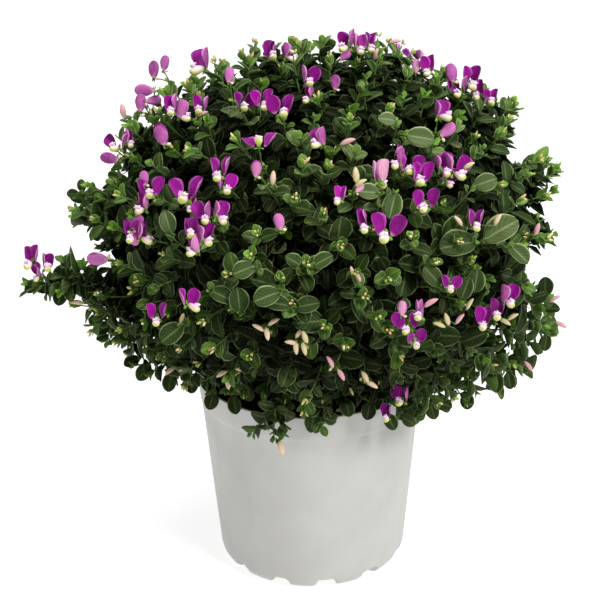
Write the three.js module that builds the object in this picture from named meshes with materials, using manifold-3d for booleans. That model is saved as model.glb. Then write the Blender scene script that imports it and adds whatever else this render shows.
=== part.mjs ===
// Potted milkwort: a white nursery pot with a black inner pot, potting soil, and a
// round bush whose leafy boughs end in magenta blooms shaped like butterflies.
// Millimetres, +Z up. The origin is the centre of the pot's flat underside, and -Y
// is the side that the bush is seen from.

import * as THREE from "three";
import { mergeVertices } from "three/addons/utils/BufferGeometryUtils.js";
import Module from "manifold-3d";

const wasm = await Module();
wasm.setup();

// Clearances between pieces, and the room beyond them that a probe keeps
const REST_GAP = 0.3;
const WALL_GAP = 0.5;
const SOIL_GAP = 0.8;
const PROBE_ROOM = 0.3;
const PROBE_HUB = 1.2;

// The white outer pot
const POT = {
  height: 153,
  topRadius: 84,
  footRadius: 69.5,
  wall: 1.6,
  cornerRadius: 12,
  bandHeight: 20,
  bandStep: 0.6,
  flatRadius: 50,
  sides: 72,
};
const NOTCH = { count: 12, height: 10, halfWidth: 4.5, slope: 4, turn: 8 };

// The black inner pot and the soil in it. The rings of the soil's top are given by
// their shares of its radius and of its crown.
const LINER = { wall: 1, floorRadius: 61, heelHeight: 17, below: 2.5, sides: 30 };
const SOIL = {
  top: 138,
  crown: 3.5,
  rings: [[0.66, 0.6], [0.33, 1]],
  ripple: 0.7,
  ripples: 5,
  holeRadius: 7.4,
  holeFloor: 100,
  sides: 24,
};

// The woody trunk, which swells into a knob where it forks inside the bush
const TRUNK = {
  foot: 6.8,
  flare: 14,
  radius: 6,
  knob: 8.5,
  knobRise: 12,
  knobHalf: 4,
  shoulder: 9,
  top: 10,
  sides: 10,
  forkX: 5,
  forkZ: 184,
};

// The bush: an ellipsoid that the shoot tips reach, and the denser core in it, whose
// surface is dented by waves. Heights on the unit sphere bound the band of the boughs.
const BUSH = { centre: new THREE.Vector3(11, 0, 271), radii: new THREE.Vector3(176, 170, 130) };
const CORE = { share: 0.8, detail: 3, ripple: 0.05, gap: 0.3 };
const CORE_WAVES = { x: 23, y: 21, z: 19, slant: 13 };
const BOUGHS = { count: 10, highest: 1, lowest: -0.72 };

// Shoots and their whorls of leaves
const SHOOT = {
  radius: 1.7,
  flare: 1.2,
  sunk: 11,
  edgeClear: 6,
  joint: 1,
  outwards: 0.4,
  upwards: 0.25,
  probeSides: 5,
};
const FILLER = {
  tries: 160,
  highest: 0.98,
  lowest: -0.84,
  reach: 0.96,
  spread: 0.06,
  apart: 47,
  rimClear: 14,
  rimLift: 16,
  leafScale: 1.12,
};
const LEAVES_A_WHORL = { leafy: 4, blooming: 3 };
const FEWEST_LEAVES = 3;
const TIP_BUD = { leafy: 6, blooming: 1 };

// Half outlines of blades: the share of the length along the rib, and of the half
// width across it. A leaf and a keel end in a point, and a wing is blunt.
const LEAF_OUTLINE = { points: [[0.32, 0.72], [0.68, 1]], pointed: true };
const WING_OUTLINE = { points: [[0.34, 0.86], [0.88, 0.8]], pointed: false };
const KEEL_OUTLINE = { points: [], pointed: true };
const BLADE_MIDDLE = 0.48;

// Where a blade starts and how a whorl's underside closes, in hub radii
const HUB = { start: 0.6, underOut: 0.9, underDown: 0.6 };

// A leaf, how much one leaf differs from the next, and the poses that it may take
const LEAF = {
  length: 32,
  width: 18,
  thick: 1.6,
  rise: 16,
  droop: 0.16,
  cup: 0.22,
  hubRadius: SHOOT.radius,
  outline: LEAF_OUTLINE,
};
const LEAF_VARIETY = { turn: 72, azimuth: 8, rise: 16, lowRise: 0.3, shortest: 0.84, length: 0.24 };
const LEAF_POSES = [
  { rise: 0, scale: 1 },
  { rise: 14, scale: 1 },
  { rise: -14, scale: 1 },
  { rise: 28, scale: 0.92 },
  { rise: 0, scale: 0.75 },
  { rise: 20, scale: 0.7 },
  { rise: 0, scale: 0.5 },
  { rise: -30, scale: 0.6 },
];
const LEAF_STUB = { rise: 0, length: 2, width: 1.6, droop: 0 };

// Flowers: two wings and a keel, or a closed flower or bud, on thin stalks
const FLOWER = { hubRadius: 1.3, crown: 1, twist: 30 };
const WING = {
  length: 13.5,
  width: 10,
  thick: 1.3,
  rise: 28,
  droop: 0.05,
  cup: 0.12,
  hubRadius: FLOWER.hubRadius,
  outline: WING_OUTLINE,
};
const WING_TURN = 48;
const KEEL = {
  length: 12,
  width: 6,
  thick: 4.2,
  rise: 60,
  droop: 0.1,
  cup: 0,
  azimuth: 270,
  hubRadius: FLOWER.hubRadius,
  outline: KEEL_OUTLINE,
};
const STALK = { radius: 0.85, length: 13 };
const CLOSED_FORMS = {
  shut: { length: 11, width: 7, thick: 4, sides: 4 },
  bud: { length: 7, width: 3.2, thick: 3, sides: 3 },
};

// Sprays: how far the flowers of one are spread, which way they face, and how far a
// spray may be moved along the line of sight to stand free
const BLOOM_LIFT = 1.9;
const SPREAD = { apart: 16, rounds: 12 };
const FACING = { toEye: 0.5, backFrom: 40, upwards: 0.15, turnOut: 0.08 };
const SHIFTS = [0, -5, 5, -10, 10, -15, 15, 20];
const BACK_SPRAYS = {
  count: 10,
  tries: 30,
  highest: 0.97,
  lowest: -0.35,
  behind: 0.3,
  turn: 40,
  apart: 9,
  loose: 4,
};

// Where each kind of growth starts its numbers
const SEEDS = { front: 1, stray: 200, back: 300, filler: 500, leaves: 1000 };

const COLOURS = {
  pot: 0xd3d4d0,
  inner_pot: 0x17181a,
  soil: 0x2c2019,
  trunk: 0x5b4632,
  bough: 0x355a2b,
  bloom: 0xa5309b,
};
const ROUGHNESS = { pot: 0.45, inner_pot: 0.5, soil: 0.95, trunk: 0.85, bough: 0.6, bloom: 0.6 };

// The front view that flowers and straying shoots are placed in: a square of 600 by
// 600 steps, seen from 1.5 m away and 24 degrees above, with column and row counted
// from its top left corner.
const VIEW = {
  middle: 300,
  distance: 1500,
  focal: 2045,
  lookDown: 24.2,
  roll: -0.91,
  aim: new THREE.Vector3(-6.8, 0, 206.9),
};

// Sprays of flowers that share a shoot, as they stand in the front view
const open = (column, row) => ({ kind: "open", column, row });
const shut = (column, row) => ({ kind: "shut", column, row });
const bud = (column, row) => ({ kind: "bud", column, row });
const tip = (column, row) => ({ kind: "tip", column, row });
const FRONT_SPRAYS = [
  [shut(160, 68), bud(150, 71)],
  [open(204, 60)],
  [shut(143, 91), shut(153, 98), shut(145, 106), bud(126, 110)],
  [open(171, 103), open(183, 108), open(200, 103)],
  [open(122, 140), shut(112, 157)],
  [open(243, 99), open(261, 98), shut(230, 76)],
  [open(276, 104), open(289, 108)],
  [open(270, 51), shut(288, 52)],
  [open(258, 142), shut(258, 170)],
  [open(218, 169), open(226, 181)],
  [open(144, 187), open(153, 199)],
  [open(180, 188), open(191, 199)],
  [open(207, 209), open(220, 217)],
  [open(187, 226), open(205, 233), open(193, 244)],
  [open(131, 227), open(143, 233)],
  [open(188, 296)],
  [open(157, 312)],
  [open(343, 37), open(356, 42), open(369, 40), shut(345, 57)],
  [open(307, 74), open(309, 87), shut(337, 82)],
  [open(419, 62), open(430, 68), bud(397, 44)],
  [open(456, 77), open(469, 79), open(476, 88), open(489, 97)],
  [open(440, 109), shut(448, 132)],
  [open(319, 138), bud(348, 142)],
  [open(381, 171)],
  [open(405, 162), open(416, 173)],
  [open(447, 161), open(457, 172), bud(469, 166)],
  [open(425, 197)],
  [open(341, 192), shut(355, 177), shut(361, 185)],
  [open(364, 219), open(382, 221), open(390, 233)],
  [open(474, 218), bud(458, 221), bud(497, 218)],
  [open(448, 281)],
  [open(404, 314), open(417, 322), shut(430, 302)],
  [open(506, 293), open(496, 306), open(481, 314)],
  [shut(163, 136)],
  [shut(281, 223)],
  [shut(99, 258)],
  [tip(224, 377)],
  [tip(272, 331)],
  [tip(446, 321)],
  [tip(322, 353)],
  [tip(369, 374)],
  [tip(170, 370)],
  [tip(357, 275)],
];

// Shoots that stray out of the round bush or hang from its skirt: the steps of each
// stem in the front view, with how far in front of the trunk (negative) or behind it
// each one stands, the flowers at its tip, and how far ahead of the tip they stand
const STRAY_AHEAD = 4;
const STRAY_SHOOTS = [
  { steps: [[110, 290, -40], [84, 280, -42], [60, 287, -44], [38, 281, -45]],
    flowers: [open(30, 256), open(45, 263)] },
  { steps: [[75, 305, -20]], flowers: [] },
  { steps: [[118, 338, -10]], flowers: [] },
  { steps: [[134, 366, -20]], flowers: [] },
  { steps: [[75, 195, 10]], flowers: [] },
  { steps: [[72, 217, 0]], flowers: [] },
  { steps: [[560, 168, 0]], flowers: [] },
  { steps: [[562, 196, -10]], flowers: [] },
  { steps: [[553, 240, -20]], flowers: [] },
  { steps: [[550, 298, -20]], flowers: [] },
  { steps: [[553, 330, 0]], flowers: [] },
  { steps: [[528, 372, 10]], flowers: [] },
  { steps: [[302, 46, 60]], flowers: [] },
  { steps: [[330, 36, 70]], flowers: [] },
  { steps: [[410, 52, 60]], flowers: [] },
  { steps: [[275, 410, -104], [274, 440, -103]], flowers: [] },
  { steps: [[322, 428, -104]], flowers: [] },
  { steps: [[393, 401, -84]], flowers: [open(397, 391), open(386, 411)], ahead: 15 },
  { steps: [[418, 414, -80]], flowers: [] },
  { steps: [[470, 396, -45]], flowers: [] },
  { steps: [[498, 384, -15]], flowers: [] },
  { steps: [[112, 322, -35]], flowers: [] },
  { steps: [[172, 384, -30]], flowers: [] },
  { steps: [[232, 396, -82]], flowers: [] },
  { steps: [[346, 392, -96]], flowers: [] },
];

const UP = new THREE.Vector3(0, 0, 1);
const FORK = new THREE.Vector3(TRUNK.forkX, 0, TRUNK.forkZ);
const GOLDEN_ANGLE = Math.PI * (3 - Math.sqrt(5));
const WELD = 1e-4;

const radians = THREE.MathUtils.degToRad;
const along = (start, direction, distance) => start.clone().addScaledVector(direction, distance);
const range = (count) => [...Array(count).keys()];

// A repeatable source of numbers from 0 to 1
function randomSource(seed) {
  let state = (seed * 7919 + 104729) % 4294967296;
  return () => {
    state = (state * 1664525 + 1013904223) % 4294967296;
    return state / 4294967296;
  };
}

// Closed meshes and solids
function solidFromArrays(positions, faces) {
  const mesh = new wasm.Mesh({
    numProp: 3,
    vertProperties: new Float32Array(positions),
    triVerts: new Uint32Array(faces),
  });
  return new wasm.Manifold(mesh);
}

function weldedArrays(geometry) {
  const bare = geometry.clone();
  bare.deleteAttribute("normal");
  bare.deleteAttribute("uv");
  const welded = mergeVertices(bare, WELD);
  const index = welded.index.array;
  const faces = [];
  for (let i = 0; i < index.length; i += 3) {
    const [a, b, c] = [index[i], index[i + 1], index[i + 2]];
    if (a !== b && b !== c && c !== a) {
      faces.push(a, b, c);
    }
  }
  return { positions: Array.from(welded.attributes.position.array), faces };
}

function enclosedVolume(positions, faces) {
  const corner = (i) => new THREE.Vector3().fromArray(positions, 3 * faces[i]);
  let volume = 0;
  for (let i = 0; i < faces.length; i += 3) {
    volume += corner(i).dot(corner(i + 1).cross(corner(i + 2))) / 6;
  }
  return volume;
}

function solidFromGeometry(geometry) {
  const { positions, faces } = weldedArrays(geometry);
  if (enclosedVolume(positions, faces) < 0) {
    faces.reverse();
  }
  return solidFromArrays(positions, faces);
}

// Joins solids into one body: hollows that the joints seal are filled, and loose
// scraps are dropped
function fused(solids) {
  const bodies = wasm.Manifold.union(solids).decompose();
  return bodies.reduce((best, body) => (body.volume() > best.volume() ? body : best));
}

function geometryFromSolid(solid) {
  const mesh = solid.getMesh();
  const geometry = new THREE.BufferGeometry();
  const positions = new THREE.BufferAttribute(new Float32Array(mesh.vertProperties), 3);
  geometry.setAttribute("position", positions);
  geometry.setIndex(new THREE.BufferAttribute(new Uint32Array(mesh.triVerts), 1));
  geometry.computeVertexNormals();
  return geometry;
}

// A turned body about the Z axis. The profile is a list of [radius, height], and
// adjust may move a point, given its column round the axis and its row in the profile.
function turnedSolid(profile, sides, turn = 0, adjust = null) {
  const outline = profile.map(([radius, height]) => new THREE.Vector2(radius, height));
  const geometry = new THREE.LatheGeometry(outline, sides, radians(turn));
  geometry.rotateX(Math.PI / 2);
  if (adjust) {
    const places = geometry.attributes.position;
    for (let i = 0; i < places.count; i += 1) {
      const point = new THREE.Vector3().fromBufferAttribute(places, i);
      adjust(point, Math.floor(i / profile.length), i % profile.length);
      places.setXYZ(i, point.x, point.y, point.z);
    }
  }
  return solidFromGeometry(geometry);
}

// The pot: a tapered wall with a band at the rim and a rounded foot, which twelve
// drainage notches dent all round
const POT_LEAN = Math.atan((POT.topRadius - POT.footRadius) / POT.height);
const potLine = (height) => POT.footRadius + height * Math.tan(POT_LEAN);
const potInside = (height) => potLine(height) - POT.bandStep - POT.wall / Math.cos(POT_LEAN);

function potSolid() {
  const bandFoot = POT.height - POT.bandHeight;
  const cornerX = potLine(POT.cornerRadius) - POT.bandStep - POT.cornerRadius;
  const lean = THREE.MathUtils.radToDeg(POT_LEAN);
  const corner = (radius, degrees) => [
    cornerX + radius * Math.cos(radians(degrees)),
    POT.cornerRadius + radius * Math.sin(radians(degrees)),
  ];
  const innerCorner = POT.cornerRadius - POT.wall;
  const outside = [
    [0, 0],
    [POT.flatRadius, 0],
    [cornerX, 0],
    corner(POT.cornerRadius, -60),
    corner(POT.cornerRadius, -30),
    corner(POT.cornerRadius, -lean),
    [potLine(bandFoot) - POT.bandStep, bandFoot],
    [potLine(bandFoot + POT.bandStep), bandFoot + POT.bandStep],
    [POT.topRadius, POT.height],
  ];
  const inside = [
    [potInside(POT.height), POT.height],
    corner(innerCorner, -lean),
    corner(innerCorner, -45),
    [cornerX, POT.wall],
    [POT.flatRadius, POT.wall],
    [0, POT.wall],
  ];
  const perNotch = POT.sides / NOTCH.count;
  const spread = [0, NOTCH.halfWidth, NOTCH.halfWidth + NOTCH.slope, 180 / NOTCH.count];
  return turnedSolid([...outside, ...inside], POT.sides, NOTCH.turn, (point, column, row) => {
    const notch = Math.round(column / perNotch);
    const step = column - notch * perNotch;
    const offset = Math.sign(step) * spread[Math.abs(step)];
    const angle = radians(NOTCH.turn + (notch * 360) / NOTCH.count + offset);
    const radius = Math.hypot(point.x, point.y);
    point.x = radius * Math.sin(angle);
    point.y = -radius * Math.cos(angle);
    if (Math.abs(step) <= 1 && radius > POT.flatRadius + WELD) {
      const floor = row < outside.length ? 0 : POT.wall;
      point.z = Math.max(point.z, floor + NOTCH.height);
    }
  });
}

const linerFloor = POT.wall + NOTCH.height + REST_GAP;
const linerLine = (height) => potInside(height) - WALL_GAP;
const soilLine = (height) => linerLine(height) - LINER.wall - SOIL_GAP;

function linerSolid() {
  const top = POT.height - LINER.below;
  const floorTop = linerFloor + LINER.wall;
  return turnedSolid([
    [0, linerFloor],
    [LINER.floorRadius, linerFloor],
    [linerLine(LINER.heelHeight), LINER.heelHeight],
    [linerLine(top), top],
    [linerLine(top) - LINER.wall, top],
    [linerLine(LINER.heelHeight) - LINER.wall, LINER.heelHeight + LINER.wall / 2],
    [LINER.floorRadius - LINER.wall / 2, floorTop],
    [0, floorTop],
  ], LINER.sides);
}

function soilSolid() {
  const bottom = linerFloor + LINER.wall + REST_GAP;
  const heel = LINER.heelHeight + LINER.wall;
  const edge = soilLine(SOIL.top);
  const side = [
    [0, bottom],
    [LINER.floorRadius - 2 * LINER.wall, bottom],
    [soilLine(heel) - LINER.wall, heel],
    [edge, SOIL.top],
  ];
  const rings = SOIL.rings.map(([radius, rise]) => [radius * edge, SOIL.top + rise * SOIL.crown]);
  const hole = [
    [SOIL.holeRadius, SOIL.top + SOIL.crown],
    [SOIL.holeRadius, SOIL.holeFloor],
    [0, SOIL.holeFloor],
  ];
  return turnedSolid([...side, ...rings, ...hole], SOIL.sides, 0, (point, column, row) => {
    if (row >= side.length && row < side.length + rings.length) {
      point.z += SOIL.ripple * Math.sin(SOIL.ripples * Math.atan2(point.y, point.x) + row);
    }
  });
}

// The trunk, grown by a margin where the boughs are cut to make room for it
function trunkSolid(margin = 0) {
  const profile = [
    [0, SOIL.holeFloor + REST_GAP - margin],
    [TRUNK.foot + margin, SOIL.holeFloor + REST_GAP - margin],
    [TRUNK.foot + margin, SOIL.top],
    [TRUNK.radius + margin, SOIL.top + TRUNK.flare],
    [TRUNK.radius + margin, TRUNK.forkZ - TRUNK.knobRise],
    [TRUNK.knob + margin, TRUNK.forkZ - TRUNK.knobHalf],
    [TRUNK.knob + margin, TRUNK.forkZ + TRUNK.knobHalf],
    [TRUNK.knob / 2 + margin, TRUNK.forkZ + TRUNK.shoulder + margin],
    [0, TRUNK.forkZ + TRUNK.top + margin],
  ];
  return turnedSolid(profile, TRUNK.sides, 0, (point) => {
    const share = Math.max(0, point.z - SOIL.top) / (TRUNK.forkZ - SOIL.top);
    point.x += TRUNK.forkX * share;
  });
}

// The core of the bush, parted into boughs by planes through the fork
function onBush(direction, share) {
  return direction.clone().multiply(BUSH.radii).multiplyScalar(share).add(BUSH.centre);
}

function spherePoint(i, count, top, bottom) {
  const height = top + ((bottom - top) * (i + 0.5)) / count;
  const ring = Math.sqrt(1 - height * height);
  const angle = i * GOLDEN_ANGLE;
  return new THREE.Vector3(ring * Math.cos(angle), ring * Math.sin(angle), height);
}

const BOUGH_AXES = range(BOUGHS.count).map((i) => {
  const way = spherePoint(i, BOUGHS.count, BOUGHS.highest, BOUGHS.lowest);
  return onBush(way, CORE.share).sub(FORK).normalize();
});

function coreSolid() {
  const geometry = new THREE.IcosahedronGeometry(1, CORE.detail);
  const places = geometry.attributes.position;
  for (let i = 0; i < places.count; i += 1) {
    const way = new THREE.Vector3().fromBufferAttribute(places, i).normalize();
    const dents = Math.sin(CORE_WAVES.x * way.x + 1) * Math.cos(CORE_WAVES.y * way.y);
    const furrows = Math.sin(CORE_WAVES.z * way.z + CORE_WAVES.slant * way.x);
    const point = onBush(way, CORE.share * (1 + CORE.ripple * (dents + furrows)));
    places.setXYZ(i, point.x, point.y, point.z);
  }
  return solidFromGeometry(geometry);
}

function boughOf(point) {
  const way = point.clone().sub(FORK).normalize();
  const closeness = BOUGH_AXES.map((axis) => axis.dot(way));
  return closeness.indexOf(Math.max(...closeness));
}

function borderPlanes(bough) {
  const planes = [];
  BOUGH_AXES.forEach((axis, other) => {
    if (other !== bough) {
      const normal = BOUGH_AXES[bough].clone().sub(axis).normalize();
      planes.push({ normal, offset: normal.dot(FORK) });
    }
  });
  return planes;
}

function boughCore(core, trunkRoom, bough) {
  let part = core;
  for (const { normal, offset } of borderPlanes(bough)) {
    part = part.trimByPlane(normal.toArray(), offset + CORE.gap / 2);
  }
  return part.subtract(trunkRoom);
}

// The front view: rays from the eye to a column and row
const lookDown = radians(VIEW.lookDown);
const roll = radians(VIEW.roll);
const forward = new THREE.Vector3(0, Math.cos(lookDown), -Math.sin(lookDown));
const level = new THREE.Vector3(1, 0, 0);
const upright = new THREE.Vector3(0, Math.sin(lookDown), Math.cos(lookDown));
const rightward = level.clone().multiplyScalar(Math.cos(roll)).addScaledVector(upright, Math.sin(roll));
const upward = upright.clone().multiplyScalar(Math.cos(roll)).addScaledVector(level, -Math.sin(roll));
const EYE = along(VIEW.aim, forward, -VIEW.distance);

function sightLine(column, row) {
  const way = along(forward, rightward, (column - VIEW.middle) / VIEW.focal);
  return way.addScaledVector(upward, (VIEW.middle - row) / VIEW.focal).normalize();
}

function seenAtDepth(column, row, depth) {
  const way = sightLine(column, row);
  return along(EYE, way, (depth - EYE.y) / way.y);
}

// Where a line first meets the bush at a share of its size, or comes nearest to it
function meetBush(start, way, share, last = false) {
  const from = start.clone().sub(BUSH.centre).divide(BUSH.radii);
  const pace = way.clone().divide(BUSH.radii);
  const a = pace.dot(pace);
  const b = from.dot(pace);
  const inside = b * b - a * (from.dot(from) - share * share);
  const root = Math.sqrt(Math.max(0, inside));
  return along(start, way, (-b + (last ? root : -root)) / a);
}

// Frames: an axis with two directions across it, turned about it by an angle
function frameAbout(axis, upHint, turn = 0) {
  const v = along(upHint, axis, -upHint.dot(axis)).normalize();
  const u = v.clone().cross(axis).normalize();
  u.applyAxisAngle(axis, turn);
  v.applyAxisAngle(axis, turn);
  return { axis, u, v };
}

function awayFrom(axis) {
  return Math.abs(axis.z) < 0.9 ? UP : new THREE.Vector3(0, -1, 0);
}

// The points of one blade on a hub: its outline from the rib's left to its right, and
// the raised and lowered points in the middle that its two faces fan out from
function bladePoints(hub, frame, blade) {
  const angle = radians(blade.azimuth);
  const outwards = frame.u.clone().multiplyScalar(Math.cos(angle));
  outwards.addScaledVector(frame.v, Math.sin(angle));
  const rise = radians(blade.rise);
  const rib = outwards.clone().multiplyScalar(Math.cos(rise));
  rib.addScaledVector(frame.axis, Math.sin(rise));
  const side = frame.axis.clone().cross(outwards);
  const normal = rib.clone().cross(side);
  const start = along(hub, outwards, HUB.start * blade.hubRadius);
  const place = (s, w, lift) => {
    const across = (w * blade.width) / 2;
    const bend = blade.cup * Math.abs(across) - blade.droop * s * s * blade.length;
    const point = along(start, rib, s * blade.length);
    point.addScaledVector(side, across);
    return point.addScaledVector(normal, bend + lift);
  };
  const left = blade.outline.points.map(([s, w]) => place(s, -w, 0));
  const right = blade.outline.points.map(([s, w]) => place(s, w, 0)).reverse();
  const tip = blade.outline.pointed ? [place(1, 0, 0)] : [];
  const outline = [...left, ...tip, ...right];
  return {
    outwards,
    outline,
    top: place(BLADE_MIDDLE, 0, blade.thick / 2),
    bottom: place(BLADE_MIDDLE, 0, -blade.thick / 2),
  };
}

function halfwayAzimuths(blades) {
  return blades.map((blade, k) => {
    const next = k + 1 < blades.length ? blades[k + 1].azimuth : blades[0].azimuth + 360;
    return (blade.azimuth + next) / 2;
  });
}

function hubPoint(hub, frame, azimuth, radius) {
  const angle = radians(azimuth);
  const point = along(hub, frame.u, radius * Math.cos(angle));
  return point.addScaledVector(frame.v, radius * Math.sin(angle));
}

// One blade alone, a little larger than it is, to test what it would cross
function bladeProbe(hub, frame, blade, before, after) {
  const margin = 2 * REST_GAP + PROBE_ROOM;
  const points = bladePoints(hub, frame, { ...blade, thick: blade.thick + margin });
  const valley = (azimuth) => hubPoint(hub, frame, azimuth, blade.hubRadius);
  const middle = points.top.clone().add(points.bottom).multiplyScalar(0.5);
  const swollen = points.outline.map((p) => along(p, p.clone().sub(middle).normalize(), margin / 2));
  const ring = [valley(before), ...swollen, valley(after)];
  const above = along(hub, frame.axis, PROBE_HUB);
  const below = along(hub, frame.axis, -PROBE_HUB);
  const positions = [...ring, above, below, points.top, points.bottom].flatMap((p) => p.toArray());
  const last = ring.length - 1;
  const [high, low, top, bottom] = [1, 2, 3, 4].map((step) => last + step);
  const faces = [0, high, low, high, last, low, top, high, 0, top, last, high];
  faces.push(bottom, 0, low, bottom, low, last);
  for (let i = 0; i < last; i += 1) {
    faces.push(top, i, i + 1, bottom, i + 1, i);
  }
  return solidFromArrays(positions, faces);
}

// A ring of blades on top of a stem, as one closed mesh. The stem's ends are a list of
// { at, radius }, from the hub downwards, and the crown stands up as a bud in the middle.
function whorlSolid(hub, frame, blades, stem, crownHeight) {
  const positions = [];
  const add = (point) => positions.push(point) - 1;
  const hubRadius = blades[0].hubRadius;
  const crown = add(along(hub, frame.axis, crownHeight));
  const valleys = halfwayAzimuths(blades).map((azimuth) => add(hubPoint(hub, frame, azimuth, hubRadius)));
  const faces = [];
  const count = blades.length;
  const under = [];
  const ways = [];
  blades.forEach((blade, k) => {
    const points = bladePoints(hub, frame, blade);
    const before = valleys[(k + count - 1) % count];
    const aside = along(hub, points.outwards, HUB.underOut * hubRadius);
    under.push(add(along(aside, frame.axis, -HUB.underDown * hubRadius)));
    ways.push(points.outwards);
    const outline = points.outline.map(add);
    const top = add(points.top);
    const bottom = add(points.bottom);
    const upper = [crown, before, ...outline, valleys[k]];
    const lower = [under[k], before, ...outline, valleys[k]];
    for (let i = 0; i < upper.length; i += 1) {
      const next = (i + 1) % upper.length;
      faces.push(top, upper[i], upper[next], bottom, lower[next], lower[i]);
    }
  });
  let from = hub;
  const rings = stem.map(({ at, radius }) => {
    const way = at.clone().sub(from).normalize();
    from = at;
    return ways.map((outwards) => {
      const across = along(outwards, way, -outwards.dot(way)).normalize();
      return add(along(at, across, radius));
    });
  });
  for (let k = 0; k < count; k += 1) {
    const next = (k + 1) % count;
    const before = valleys[(k + count - 1) % count];
    faces.push(before, rings[0][k], under[k]);
    faces.push(under[k], rings[0][k], valleys[k]);
    faces.push(valleys[k], rings[0][k], rings[0][next]);
    for (let ring = 1; ring < rings.length; ring += 1) {
      const [high, low] = [rings[ring - 1], rings[ring]];
      faces.push(high[k], low[k], low[next], high[k], low[next], high[next]);
    }
  }
  const foot = rings.at(-1);
  for (let k = 1; k < count - 1; k += 1) {
    faces.push(foot[0], foot[k + 1], foot[k]);
  }
  return solidFromArrays(positions.flatMap((p) => p.toArray()), faces);
}

// A body through rings of points, closed flat at its start and to a point at its end.
// Each ring is { at, wide, deep }, measured along u and v of the frame.
function pointedSolid(frame, sides, rings, tip) {
  const positions = [];
  rings.forEach(({ at, wide, deep }) => {
    for (let k = 0; k < sides; k += 1) {
      const angle = (2 * Math.PI * k) / sides;
      const point = along(at, frame.u, (wide / 2) * Math.cos(angle));
      positions.push(point.addScaledVector(frame.v, (deep / 2) * Math.sin(angle)));
    }
  });
  positions.push(tip);
  const last = (rings.length - 1) * sides;
  const faces = [];
  for (let k = 0; k < sides; k += 1) {
    const next = (k + 1) % sides;
    for (let low = 0; low < last; low += sides) {
      faces.push(low + k, low + next, low + sides + next);
      faces.push(low + k, low + sides + next, low + sides + k);
    }
    faces.push(last + k, last + next, positions.length - 1);
    if (k > 0 && k < sides - 1) {
      faces.push(0, next, k);
    }
  }
  return solidFromArrays(positions.flatMap((p) => p.toArray()), faces);
}

// Flowers
function openFlower(at, face, root, random) {
  const axis = face.clone().normalize();
  const frame = frameAbout(axis, awayFrom(axis), radians(FLOWER.twist * (random() - 0.5)));
  const wings = [-WING_TURN, WING_TURN].map((turn) => ({ ...WING, azimuth: 90 + turn }));
  return whorlSolid(at, frame, [...wings, KEEL], [{ at: root, radius: STALK.radius }], FLOWER.crown);
}

function closedFlower(at, root, form) {
  const axis = at.clone().sub(root).normalize();
  const frame = frameAbout(axis, awayFrom(axis));
  const neck = along(at, axis, -form.length / 2);
  const stalk = 2 * STALK.radius;
  return pointedSolid(frame, form.sides, [
    { at: root, wide: stalk, deep: stalk },
    { at: neck, wide: stalk, deep: stalk },
    { at, wide: form.width, deep: form.thick },
  ], along(at, axis, form.length / 2));
}

function centreOf(points) {
  const sum = new THREE.Vector3();
  points.forEach((point) => sum.add(point));
  return sum.divideScalar(points.length);
}

// Flowers of one spray that stand too close are moved apart
function spreadFlowers(flowers) {
  const places = flowers.map(({ at }) => at.clone());
  for (let round = 0; round < SPREAD.rounds; round += 1) {
    places.forEach((a, i) => places.slice(i + 1).forEach((b) => {
      const way = b.clone().sub(a);
      const lack = SPREAD.apart - way.length();
      if (lack > 0) {
        b.addScaledVector(way.normalize(), lack / 2);
        a.addScaledVector(way, -lack / 2);
      }
    }));
  }
  return flowers.map(({ kind }, i) => ({ kind, at: places[i] }));
}

// A spray of flowers whose stalks meet in one root above the tip of its shoot
function spraySolid(flowers, root, random) {
  const centre = centreOf(flowers.map(({ at }) => at));
  const solids = flowers.map(({ kind, at }) => {
    const outwards = at.clone().sub(BUSH.centre).divide(BUSH.radii).normalize();
    const toEye = at.y < FACING.backFrom ? FACING.toEye : 0;
    const face = outwards.addScaledVector(forward, -toEye).addScaledVector(UP, FACING.upwards);
    face.addScaledVector(at.clone().sub(centre), FACING.turnOut);
    return kind === "open" ? openFlower(at, face, root, random) : closedFlower(at, root, CLOSED_FORMS[kind]);
  });
  return fused(solids);
}

// What stands so far, each with its box, so that only near things are tested
const standing = [];

function stand(solid, owner) {
  standing.push({ solid, owner, box: solid.boundingBox() });
}

function boxesMeet(a, b) {
  return [0, 1, 2].every((i) => a.min[i] <= b.max[i] && b.min[i] <= a.max[i]);
}

function crossing(solid, spared) {
  const box = solid.boundingBox();
  return standing.find((other) => !spared.includes(other.owner) && boxesMeet(box, other.box)
    && other.solid.intersect(solid).volume() > 0);
}

// The shoots: each has a tip, the way it points, its bough and the root of its stem
function coreRoot(towards, bough) {
  const way = towards.clone().sub(FORK).normalize();
  const surface = meetBush(FORK, way, CORE.share, true);
  const base = along(surface, way, -SHOOT.sunk);
  for (const { normal, offset } of borderPlanes(bough)) {
    const room = base.dot(normal) - offset;
    if (room < SHOOT.edgeClear) {
      base.addScaledVector(normal, SHOOT.edgeClear - room);
    }
  }
  return base;
}

function shootTo(tip, bough = boughOf(tip), root = coreRoot(tip, bough)) {
  const way = tip.clone().sub(root).normalize();
  const outwards = tip.clone().sub(BUSH.centre).divide(BUSH.radii).normalize();
  way.addScaledVector(outwards, SHOOT.outwards).addScaledVector(UP, SHOOT.upwards);
  return { tip, axis: way.normalize(), bough, root, blooms: [] };
}

function stemProbe({ tip, root }) {
  const axis = tip.clone().sub(root).normalize();
  const wide = 2 * (SHOOT.radius * SHOOT.flare + REST_GAP + PROBE_ROOM);
  const rings = [{ at: root, wide, deep: wide }, { at: tip, wide, deep: wide }];
  const frame = frameAbout(axis, awayFrom(axis));
  return pointedSolid(frame, SHOOT.probeSides, rings, along(tip, axis, PROBE_HUB));
}

const shoots = [];
const bloomSolids = [];

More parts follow.
